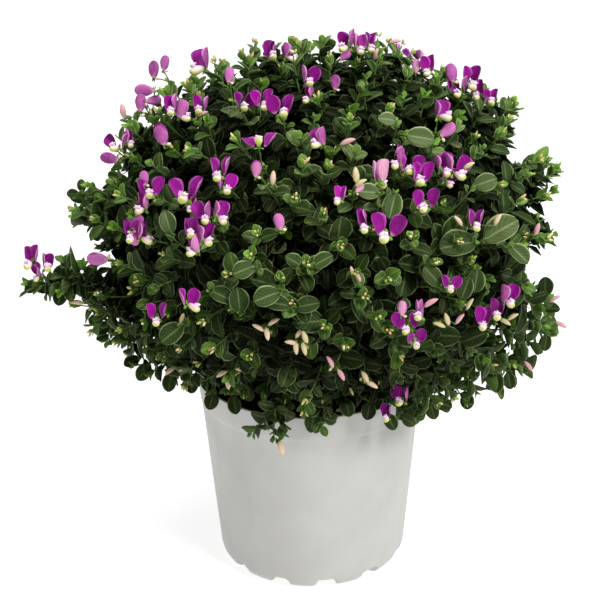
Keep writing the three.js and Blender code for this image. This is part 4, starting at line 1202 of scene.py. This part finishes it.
def inner_leaves(rng):
    """Older leaves inside the bush, which close the gaps between the shoots."""
    ways = np.array([sphere_point(i, INNER_LEAVES, 0.99, -0.8) for i in range(INNER_LEAVES)])
    base = BUSH_CENTRE + ways * BUSH_RADII * rng.uniform(0.58, 0.85, (INNER_LEAVES, 1))
    normal = unit(ways + rng.normal(0, 0.35, ways.shape) + UP * 0.3)
    rib = across(rng.normal(0, 1, ways.shape), normal)
    length = LEAF_LENGTH * rng.uniform(1.0, 1.35, INNER_LEAVES)
    return {
        "base": base,
        "rib": rib,
        "normal": normal,
        "length": length,
        "width": length * LEAF_WIDTH,
        "cup": rng.uniform(0.2, 0.5, INNER_LEAVES),
        "bend": rng.uniform(0.0, 0.4, INNER_LEAVES),
        "tone_and_painted_light": rng.uniform(0, 0.5, INNER_LEAVES),
        "age": np.zeros(INNER_LEAVES),
    }


def height_share(points):
    """-1 at the foot of the bush, 0 half way up and 1 at its top."""
    return np.clip((points[..., 2] - BUSH_CENTRE[2]) / BUSH_RADII[2], -1, 1)


def side_share(point):
    """0 in the middle of the bush, 1 at its left and right."""
    return min(1.0, abs(point[0] - BUSH_CENTRE[0]) / BUSH_RADII[0]) ** 2


def along_leaves(leaves, share):
    """The point at a share of the length of each leaf."""
    return leaves["base"] + leaves["rib"] * leaves["length"][:, None] * share


def painted_light(leaves):
    """Painted light and shade of each leaf: 0 for old leaves deep in the bush, painted in shade,
    and 1 for the outermost and highest, painted as lit.
    """
    middle = along_leaves(leaves, 0.5)
    share = np.linalg.norm((middle - BUSH_CENTRE) / BUSH_RADII, axis=1)
    outer = smooth(share, DEEP_SHARE, OUTER_SHARE) ** 1.5
    height = height_share(middle)
    reach = np.maximum(LIT_HALF_WAY + LIT_BY_HEIGHT * height, LIT_LEAST)
    return np.clip(outer * reach + leaves["tone_and_painted_light"] ** 2 * (0.3 + 0.12 * height), 0, 1)


def inside_outline(columns, rows, outline):
    """Whether places in the front view lie inside an outline."""
    inside = np.zeros(len(columns), bool)
    for (x0, y0), (x1, y1) in zip(outline, outline[1:] + outline[:1]):
        if y0 != y1:
            crosses = (rows < y0) != (rows < y1)
            inside ^= crosses & (columns < x0 + (x1 - x0) * (rows - y0) / (y1 - y0))
    return inside


def keep_clear(leaves, sprays):
    """Drops the leaves that would hide a flower in the front view or cross the pot."""
    column, row, _ = seen(along_leaves(leaves, LEAF_SHOWS))
    keep = inside_outline(column, row, LEAF_OUTLINE)
    middle = along_leaves(leaves, LEAF_MIDDLE)
    column, row, deep = seen(middle)
    for spray in sprays:
        for item, place in zip(spray.items, spray.places):
            if item.column:
                clear = BUD_CLEAR if isinstance(item, PaleBud) else FLOWER_CLEAR * item.size
                near = np.hypot(column - item.column, row - item.row) < clear
                keep &= ~(near & (deep < (place - EYE) @ FORWARD + FLOWER_BEHIND))
    for points in (leaves["base"], middle, along_leaves(leaves, 1)):
        over_pot = np.hypot(points[:, 0], points[:, 1]) < POT_TOP_RADIUS + POT_CLEAR
        keep &= ~(over_pot & (points[:, 2] < POT_HEIGHT + POT_CLEAR))
        keep &= points[:, 2] > POT_HEIGHT - HANG_DEPTH
    return {key: values[keep] for key, values in leaves.items()}


# Flowers
def flower_axes(item, place):
    """The way a flower faces, its upright and its right-hand side."""
    if item.column:
        face, pitch, lean = (math.radians(a) for a in (item.face, item.pitch, item.lean))
        above = swung(ABOVE, RIGHT, lean)
        right = swung(RIGHT, -ABOVE, lean)
        way = swung(swung(-FORWARD, right, face), above, pitch)
        upright = across(above, way)
    else:
        way = unit(outwards_at(place) + UP * 0.1)
        upright = across(UP, way)
    return way, upright, np.cross(upright, way)


def add_wings(shape, hub, way, upright, right, item, rng):
    """The two great wings, hollow towards the keel, with a pale foot."""
    closed = item.spread < CLOSED_SPREAD
    cup, bend = CLOSED_CURVE if closed else WING_CURVE
    apart = CLOSED_APART if closed else 0.5 + WING_APART * math.sin(math.radians(item.spread))
    width = CLOSED_WIDTH if closed else WING_WIDTH
    for hand in (-1, 1):
        loose = 0 if closed else rng.normal(0, 8)
        spread = math.radians(item.spread * WING_UPRIGHT + loose)
        tilt = 0.18 if closed else rng.uniform(-0.15, 0.45)
        rib = unit(swung(upright, right * hand, spread) + way * tilt)
        turn = math.radians(90 if closed else 80 - item.spread + rng.normal(0, 18))
        normal = across(swung(way, -right * hand, turn), rib)
        length = WING_LENGTH * item.size * rng.uniform(0.92, 1.06)
        base = hub + right * hand * apart * item.size
        points = WING.points([base], [rib], [normal], length, length * width, cup, bend,
                             WING_THICK, WING_WAVE, rng.uniform(0, 6))
        marks = marks_of(1, WING.along, WING.aside, np.clip(item.tone + rng.normal(0, 0.06), 0, 1))
        shape.add(points, WING.triangles, WING_FACE + WING.faces, marks, 0.0)


def add_keel(shape, hub, way, upright, right, item, rng):
    """The boat-shaped keel with its fringed crest, under the wings."""
    closed = item.spread < CLOSED_SPREAD
    size = item.size * (CLOSED_KEEL if closed else 1.0)
    sag = 0 if closed else rng.uniform(-0.1, 0.3)
    aside = 0 if closed else rng.normal(0, 0.2)
    path = np.array([
        hub + (way * forth + upright * (rise - sag * forth) + right * aside * forth) * size
        for forth, rise in KEEL_ROUTE
    ])
    points, triangles, shares = tube(path, KEEL_HALVES * size, KEEL_SIDES, upright)
    angles = 2 * math.pi * np.arange(KEEL_SIDES) / KEEL_SIDES
    under = np.concatenate([np.tile((1 - np.sin(angles)) / 2, len(path)), [0.5, 0.5]])
    shape.add(points, triangles, KEEL_FACE, marks_of(1, shares, under, rng.random()), 0.0)
    if not closed:
        comb = path[4] + upright * 1.6 * size
        for k in range(CREST_HAIRS):
            angle = math.radians(mixed(-110, 110, k / (CREST_HAIRS - 1)))
            out = right * math.sin(angle) + upright * (0.4 + 0.7 * math.cos(angle)) + way * 0.5 * (k % 3)
            end = comb + unit(out) * size * rng.uniform(1.8, 3.2)
            path = curve(comb, (comb + end) / 2 + upright * 0.4, end, len(CREST_RADII))
            add_tube(shape, path, CREST_RADII, 4, CREST_FACE, rng.random())


def add_sepals(shape, hub, way, upright, right, item, rng):
    """Three small green sepals behind the wings."""
    for angle in (0, 120, 240):
        rib = unit(swung(upright, right, math.radians(angle)) * 0.8 - way * 0.1)
        points = SEPAL.points([hub - way * 0.6], [rib], [across(way, rib)], SEPAL_LENGTH * item.size,
                              SEPAL_WIDTH * item.size, 0.4, -0.3, 0.3)
        marks = marks_of(1, SEPAL.along, SEPAL.aside, rng.random())
        shape.add(points, SEPAL.triangles, UPPER_FACE + SEPAL.faces, marks, 0.8)


def add_stalk(shape, root, hub, rng):
    middle = (root + hub) / 2 + UP * 2.0 + rng.normal(0, 0.6, 3)
    path = curve(root, middle, hub, len(STALK_RADII))
    add_tube(shape, path, STALK_RADII, 6, STEM_FACE, rng.random(), 1.0)


def add_flower(shape, item, place, root, rng):
    way, upright, right = flower_axes(item, place)
    hub = place - upright * WING_LENGTH * item.size * 0.42 - way * 2.0
    add_wings(shape, hub, way, upright, right, item, rng)
    add_keel(shape, hub, way, upright, right, item, rng)
    add_sepals(shape, hub, way, upright, right, item, rng)
    add_stalk(shape, root, hub - way * 0.8, rng)


def add_pale_bud(shape, item, place, root, rng):
    axis = unit(swung(ABOVE, RIGHT, math.radians(item.lean)) - FORWARD * 0.25)
    length, width, deep = np.array([PALE_LENGTH, PALE_WIDTH, PALE_DEEP]) * item.size
    base = place - axis * length / 2
    points = LONG_BUD.points([base], [axis], length, width, deep, 0.25)
    shape.add(points, LONG_BUD.triangles, PALE_FACE, marks_of(1, LONG_BUD.along, 0, item.tone), 0.0)
    add_stalk(shape, root, base, rng)


def add_spray(shape, spray, rng):
    for item, place in zip(spray.items, spray.places):
        adder = add_pale_bud if isinstance(item, PaleBud) else add_flower
        adder(shape, item, place, spray.root, rng)


def add_tip_buds(shape, shoot, rng):
    """A tight cluster of small cream and green buds in the heart of a shoot."""
    _, ways = along_path(shoot.path, np.array([0.0]))
    count = shoot.buds
    turns = rng.uniform(0, 2 * math.pi) + 2.4 * np.arange(count)
    out = swung(*frame_about(ways[0]), turns)
    axis = unit(ways[0] + out * rng.uniform(0.15, 0.7, (count, 1)))
    base = shoot.tip + out * 0.8 + ways[0] * 1.0
    length = rng.uniform(*TIP_BUD_LENGTHS, count)
    points = SMALL_BUD.points(base, axis, length, length * TIP_BUD_WIDTH)
    marks = marks_of(count, SMALL_BUD.along, 0, rng.random(count))
    shape.add(points, SMALL_BUD.triangles, BUD_FACE, marks, 0.0)


def add_stem(shape, shoot, rng):
    radii = np.linspace(STEM_RADIUS, TWIG_RADIUS, len(shoot.path))
    points, triangles, shares = tube(shoot.path, radii, STEM_SIDES)
    shape.add(points, triangles, STEM_FACE, marks_of(1, shares, 0, rng.random()), 0.0)
    shape.ages[-1] = smooth(shares, 0.25, 0.75)


def add_leaves(pieces, blade, leaves, share=1.0):
    """Adds each leaf, with its painted light and shade, to the piece of the bough that it grows on."""
    # The third number of each leaf's marks is its painted light and shade, times a share
    tones_and_painted_light = painted_light(leaves) * share
    forms = [leaves[key] for key in LEAF_FIELDS[:7]]
    points = blade.points(*forms, LEAF_THICK, LEAF_WAVE, 6 * tones_and_painted_light)
    owners = bough_of(leaves["base"])
    for i, piece in enumerate(pieces):
        mine = owners == i
        marks = marks_of(mine.sum(), blade.along, blade.aside, tones_and_painted_light[mine])
        piece.add(points[mine], blade.triangles, blade.faces, marks, leaves["age"][mine])


def build_bush():
    """All leaves, stems, buds and flowers, one piece for each bough and each bloom."""
    rng = np.random.default_rng(31)
    strays, sprays = stray_shoots(rng)
    sprays += front_sprays()
    shoots = list(strays)
    for spray in sprays[len(STRAY_SPRAYS):]:
        shoots.append(shoot_to(spray.root, rng, SPRAY_LEAVES, scale=0.95, youth=0.5, buds=2))
    for place in SKIRT_TIPS:
        shoots.append(shoot_to(at_depth(*place), rng, scale=1.05, youth=0.7, buds=1))
    for youth, places in SPRIGS:
        path = curve(*(at_depth(*place) for place in places), 10)
        shoots.append(Shoot(path, SPRIG_LEAVES, SPRIG_SCALE, youth, 0, SPRIG_LEAFY))
    dry = at_depth(*SPRIGS[1][1][-1])
    sprays.append(spray_at([DRY_TIP], (dry - EYE) @ FORWARD))
    sprays[-1].root = dry
    for column, row in LEAFY_TIPS:
        tip = meet_bush(EYE, sight(column, row), 0.97)
        shoots.append(shoot_to(tip, rng, scale=1.05, youth=0.65, buds=3))
    for place in BROAD_LEAVES:
        tip = foot_of(*place[:3])
        shoots.append(shoot_to(tip, rng, BROAD_SHOOT_LEAVES, scale=BROAD_SHOOT_SCALE, youth=0.5))
    far = back_sprays(rng)
    for spray in far:
        shoots.append(shoot_to(spray.root, rng, SPRAY_LEAVES, scale=0.95, youth=0.6, buds=2))
    shoots += filler_shoots([shoot.tip for shoot in shoots], rng)

    batches = [leaves_of(shoot, rng) for shoot in shoots] + [inner_leaves(rng)]
    leaves = {key: np.concatenate([batch[key] for batch in batches]) for key in LEAF_FIELDS}
    pieces = [Shape() for _ in range(BOUGHS)]
    add_leaves(pieces, LEAF, keep_clear(leaves, sprays))
    broad = keep_clear(broad_leaves(BROAD_LEAVES + STRAY_LEAVES, rng), sprays)
    # Broad leaves get less painted light
    add_leaves(pieces, BROAD_LEAF, broad, BROAD_PAINTED_LIGHT)
    for shoot in shoots:
        piece = pieces[bough_of(shoot.tip)]
        add_stem(piece, shoot, rng)
        if shoot.buds:
            add_tip_buds(piece, shoot, rng)
    for end in LIMB_ENDS:
        path = curve(FORK, FORK + (end - FORK) * np.array([0.35, 0.35, 0.7]), end, LIMB_STEPS)
        radii = np.linspace(3.4, 1.5, LIMB_STEPS)
        add_tube(pieces[bough_of(end)], path, radii, 7, STEM_FACE, rng.random())
    for i, spray in enumerate(sprays + far):
        rng = np.random.default_rng(i)
        if spray.node:
            bloom = Shape()
            add_spray(bloom, spray, rng)
            bloom.build(spray.node.replace("bloom", "flowers"), FOLIAGE_SLOTS, "petal", spray.node)
        else:
            add_spray(pieces[bough_of(spray.root)], spray, rng)
    for i, piece in enumerate(pieces):
        piece.build(f"foliage_{i + 1:02d}", FOLIAGE_SLOTS, "leaf", f"bough_{i + 1:02d}")


# The pot, the inner pot, the soil and the trunk
def turned(profile, sides, adjust=None):
    """A closed body turned about the Z axis from a profile that starts and ends on it."""
    profile = np.array(profile, float)
    angles = 2 * math.pi * np.arange(sides) / sides
    inner = profile[1:-1]
    ring = np.stack([np.sin(angles), -np.cos(angles)], axis=1)
    points = np.empty((len(inner), sides, 3))
    points[:, :, :2] = inner[:, None, :1] * ring[None]
    points[:, :, 2] = inner[:, 1:]
    if adjust:
        points = adjust(points, angles)
    ends = np.array([[0, 0, profile[0, 1]], [0, 0, profile[-1, 1]]])
    triangles = Spindle(np.zeros(len(inner)), np.ones(len(inner)), sides).triangles
    return np.concatenate([points.reshape(-1, 3), ends]), triangles


def arc(centre_x, centre_z, radius, first, last, steps):
    angles = np.radians(np.linspace(first, last, steps))
    return [(centre_x + radius * math.cos(a), centre_z + radius * math.sin(a)) for a in angles]


def pot_line(height):
    return FOOT_RADIUS + (POT_TOP_RADIUS - FOOT_RADIUS) * height / POT_HEIGHT


def pot_inside(height):
    return pot_line(height) - POT_STEP - POT_WALL


def build_pot():
    corner_x = pot_line(CORNER_RADIUS) - POT_STEP - CORNER_RADIUS
    lean = math.degrees(math.atan((POT_TOP_RADIUS - FOOT_RADIUS) / POT_HEIGHT))
    band = POT_HEIGHT - BAND_HEIGHT
    lip = (POT_TOP_RADIUS - pot_inside(POT_HEIGHT)) / 2
    flats = [(r, 0.0) for r in np.linspace(0, corner_x, 12)]
    wall = [(pot_line(z) - POT_STEP, z) for z in np.linspace(CORNER_RADIUS + 2, band - 1.2, 26)]
    step = [(pot_line(band) - POT_STEP, band - 0.5), (pot_line(band) - 0.12, band + 0.5)]
    rim = [(pot_line(z), z) for z in np.linspace(band + 1.2, POT_HEIGHT - lip, 7)]
    top = arc(POT_TOP_RADIUS - lip, POT_HEIGHT - lip, lip, 20, 160, 8)
    inside = [(pot_inside(z), z) for z in np.linspace(POT_HEIGHT - lip - 0.5, CORNER_RADIUS + 2, 12)]
    heel = arc(corner_x, CORNER_RADIUS, CORNER_RADIUS - POT_WALL, -lean, -90, 7)
    floor = [(r, POT_WALL) for r in np.linspace(corner_x - 1, 0, 6)]
    outer = flats + arc(corner_x, CORNER_RADIUS, CORNER_RADIUS, -84, -lean, 12) + wall + step + rim + top
    profile = outer + inside + heel + floor

    def dent(points, angles):
        turn = np.degrees(angles) - NOTCH_TURN
        half = 180 / NOTCHES
        offset = np.abs((turn + half) % (2 * half) - half)
        depth = 1 - smooth(offset, NOTCH_FLAT, NOTCH_END)
        radius = np.hypot(points[:, :, 0], points[:, :, 1])
        reach = smooth(radius, FLAT_RADIUS, FLAT_RADIUS + 6)
        inner = np.arange(len(points))[:, None] >= len(outer) - 1
        lowest = NOTCH_HEIGHT * depth[None] * reach + POT_WALL * inner
        soft = 1.2
        high = np.maximum(points[:, :, 2], lowest)
        blend = np.clip(soft - np.abs(points[:, :, 2] - lowest), 0, soft) ** 2 / (4 * soft)
        points[:, :, 2] = high + blend * (lowest > 0.2) * ~inner
        return points

    shape = Shape()
    points, triangles = turned(profile, POT_SIDES, dent)
    shape.add(points, triangles, 0, np.zeros(3), 0.0)
    shape.build("white_pot", [white_plastic()], "white_plastic", "pot")


def build_liner():
    top = POT_HEIGHT - LINER_BELOW

    def line(z):
        return pot_inside(z) - WALL_GAP

    outer = [(0, LINER_FLOOR), (LINER_FLOOR_RADIUS - 2, LINER_FLOOR)]
    outer += [(LINER_FLOOR_RADIUS, LINER_FLOOR + 0.4)]
    outer += [(line(z), z) for z in np.linspace(LINER_HEEL, top - 4, 14)]
    outer += [(line(top - 3), top - 3), (line(top) - 0.1, top - 0.8), (line(top) - 0.3, top - 0.1)]
    inner = [(line(top) - 0.8, top), (line(top) - LINER_WALL, top - 0.4)]
    inner += [(line(z) - LINER_WALL, z) for z in np.linspace(top - 4, LINER_HEEL + 0.5, 12)]
    inner += [(LINER_FLOOR_RADIUS - 1, LINER_FLOOR + 1.3), (LINER_FLOOR_RADIUS - 3, LINER_FLOOR + 1)]
    inner += [(0, LINER_FLOOR + 1)]
    shape = Shape()
    points, triangles = turned(outer + inner, LINER_SIDES)
    shape.add(points, triangles, 0, np.zeros(3), 0.0)
    shape.build("nursery_liner", [black_plastic()], "black_plastic", "inner_pot")


def ripple(x, y, rng, waves=34):
    """A bumpy height made of many waves that run in all directions, from -1 to 1."""
    height = np.zeros_like(x)
    for _ in range(waves):
        turn, phase = rng.uniform(0, 2 * math.pi, 2)
        length = rng.uniform(4, 30)
        along = x * math.cos(turn) + y * math.sin(turn)
        height += np.sin(along * 2 * math.pi / length + phase) * length / 30
    return height / np.abs(height).max()


def build_soil():
    rng = np.random.default_rng(5)

    def line(z):
        return pot_inside(z) - WALL_GAP - LINER_WALL - SOIL_GAP

    bottom = LINER_FLOOR + 1.3
    heel = LINER_HEEL + 1
    profile = [(0, bottom), (LINER_FLOOR_RADIUS - 2, bottom), (line(heel) - 1, heel)]
    profile += [(line(z), z) for z in np.linspace(heel + 12, SOIL_TOP - 2, 8)]
    edge = line(SOIL_TOP)
    radii = np.linspace(edge - 0.6, TRUNK_RADIUS + 1.6, 46)
    first_top = len(profile) - 1
    profile += [(r, SOIL_TOP + SOIL_CROWN * (1 - (r / edge) ** 2)) for r in radii]
    profile += [(TRUNK_RADIUS + 1.5, SOIL_TOP - 6), (0, SOIL_TOP - 6)]

    def roughen(points, angles):
        top = points[first_top:-1]
        top[:, :, 2] += SOIL_RELIEF * ripple(top[:, :, 0], top[:, :, 1], rng)
        return points

    shape = Shape()
    points, triangles = turned(profile, SOIL_SIDES, roughen)
    shape.add(points, triangles, 0, np.zeros(3), 0.0)
    chunk = Spindle([0.16, 0.5, 0.84], [0.75, 1.0, 0.7], 6)
    ways = unit(rng.normal(0, 1, (SOIL_CRUMBS, 3)) * np.array([1, 1, 0.35]))
    radius = (edge - 5) * np.sqrt(rng.uniform(0.03, 1, SOIL_CRUMBS))
    angle = rng.uniform(0, 2 * math.pi, SOIL_CRUMBS)
    height = SOIL_TOP + SOIL_CROWN * (1 - (radius / edge) ** 2)
    base = np.stack([radius * np.cos(angle), radius * np.sin(angle), height], axis=1)
    length = rng.uniform(2.2, 7.5, SOIL_CRUMBS)
    crumbs = chunk.points(base - ways * length[:, None] / 2, ways, length, length * 0.55, length * 0.4)
    crumbs += rng.normal(0, 0.22, crumbs.shape)
    marks = marks_of(SOIL_CRUMBS, chunk.along, 0, rng.random(SOIL_CRUMBS))
    shape.add(crumbs, chunk.triangles, 1, marks, 0.0)
    shape.build("potting_soil", [soil_material(), crumb_material()], "potting_soil", "soil")


def build_trunk():
    rng = np.random.default_rng(9)
    foot = SOIL_TOP - 5.5
    heights = np.concatenate([np.linspace(foot, FORK[2] + 2, 40), [FORK[2] + 5, FORK[2] + 7]])
    share = (heights - foot) / (heights[-1] - foot)
    bow = np.sin(share * math.pi)
    path = np.stack([FORK[0] * share + 1.2 * bow, 0.9 * np.sin(5 * share), heights], axis=1)
    radii = TRUNK_RADIUS * (1.0 - 0.12 * bow) + 1.4 * smooth(share, 0.8, 0.93)
    radii[-2:] = [5.0, 2.0]
    points, triangles, shares = tube(path, radii, TRUNK_SIDES, LEVEL)
    middle = np.repeat(path, TRUNK_SIDES, axis=0)
    body = points[:-2]
    angle = np.arctan2(body[:, 1] - middle[:, 1], body[:, 0] - middle[:, 0])
    twist = 18 * share.repeat(TRUNK_SIDES)
    ridges = 0.28 * np.sin(9 * angle + twist) + rng.normal(0, 0.12, len(body))
    points[:-2] += unit(body - middle) * ridges[:, None]
    shape = Shape()
    shape.add(points, triangles, 0, marks_of(1, shares, 0, 0.5), 0.0)
    shape.build("woody_trunk", [bark_material()], "bark", "trunk")


# The studio
def build_floor():
    mesh = bpy.data.meshes.new("floor")
    half = 6.0
    corners = [(-half, -half, 0), (half, -half, 0), (half, half, 0), (-half, half, 0)]
    mesh.from_pydata(corners, [], [(0, 1, 2, 3)])
    floor = placed("floor", mesh)
    nodes = Nodes("studio_floor")
    nodes.surface.inputs["Emission Color"].default_value = (1, 1, 1, 1)
    nodes.surface.inputs["Emission Strength"].default_value = 0.78
    mesh.materials.append(nodes.finish(rgb(180, 180, 180), 0.9, 0.0))
    floor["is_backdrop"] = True


def area_light(name, place, target, size, watts):
    data = bpy.data.lights.new(name, "AREA")
    data.shape = "DISK"
    data.size = size
    data.energy = watts
    light = placed(name, data)
    place, target = np.array(place), np.array(target)
    back = unit(place - target)
    right = unit(np.cross(UP, back))
    turn = Matrix(np.stack([right, np.cross(back, right), back], axis=1).tolist())
    light.matrix_world = Matrix.Translation(place) @ turn.to_4x4()


def build_studio():
    world = bpy.data.worlds.new("studio")
    world.use_nodes = True
    world.node_tree.nodes["Background"].inputs["Color"].default_value = (1, 1, 1, 1)
    world.node_tree.nodes["Background"].inputs["Strength"].default_value = 0.27
    bpy.context.scene.world = world
    bpy.context.scene.view_settings.view_transform = "Standard"
    bush = BUSH_CENTRE * MM
    area_light("key", (1.1, -1.3, 1.7), bush, 0.7, 44)
    area_light("fill", (-1.5, -1.2, 0.9), bush, 1.2, 5)
    area_light("top", (-0.1, 0.2, 2.0), bush, 1.0, 24)


def build_camera():
    data = bpy.data.cameras.new("camera")
    data.sensor_width = SENSOR
    data.lens = FOCAL * SENSOR / IMAGE_SIDE
    data.clip_end = 50
    camera = placed("camera", data)
    turn = Matrix(np.stack([RIGHT, ABOVE, -FORWARD], axis=1).tolist())
    camera.matrix_world = Matrix.Translation(EYE * MM) @ turn.to_4x4()
    bpy.context.scene.camera = camera


build_camera()
build_studio()
build_floor()
build_pot()
build_liner()
build_soil()
build_trunk()
build_bush()

boxes = {"cad": CAD_BOX, "visual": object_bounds()}
{key: [list(corner) for corner in box] for key, box in boxes.items()}
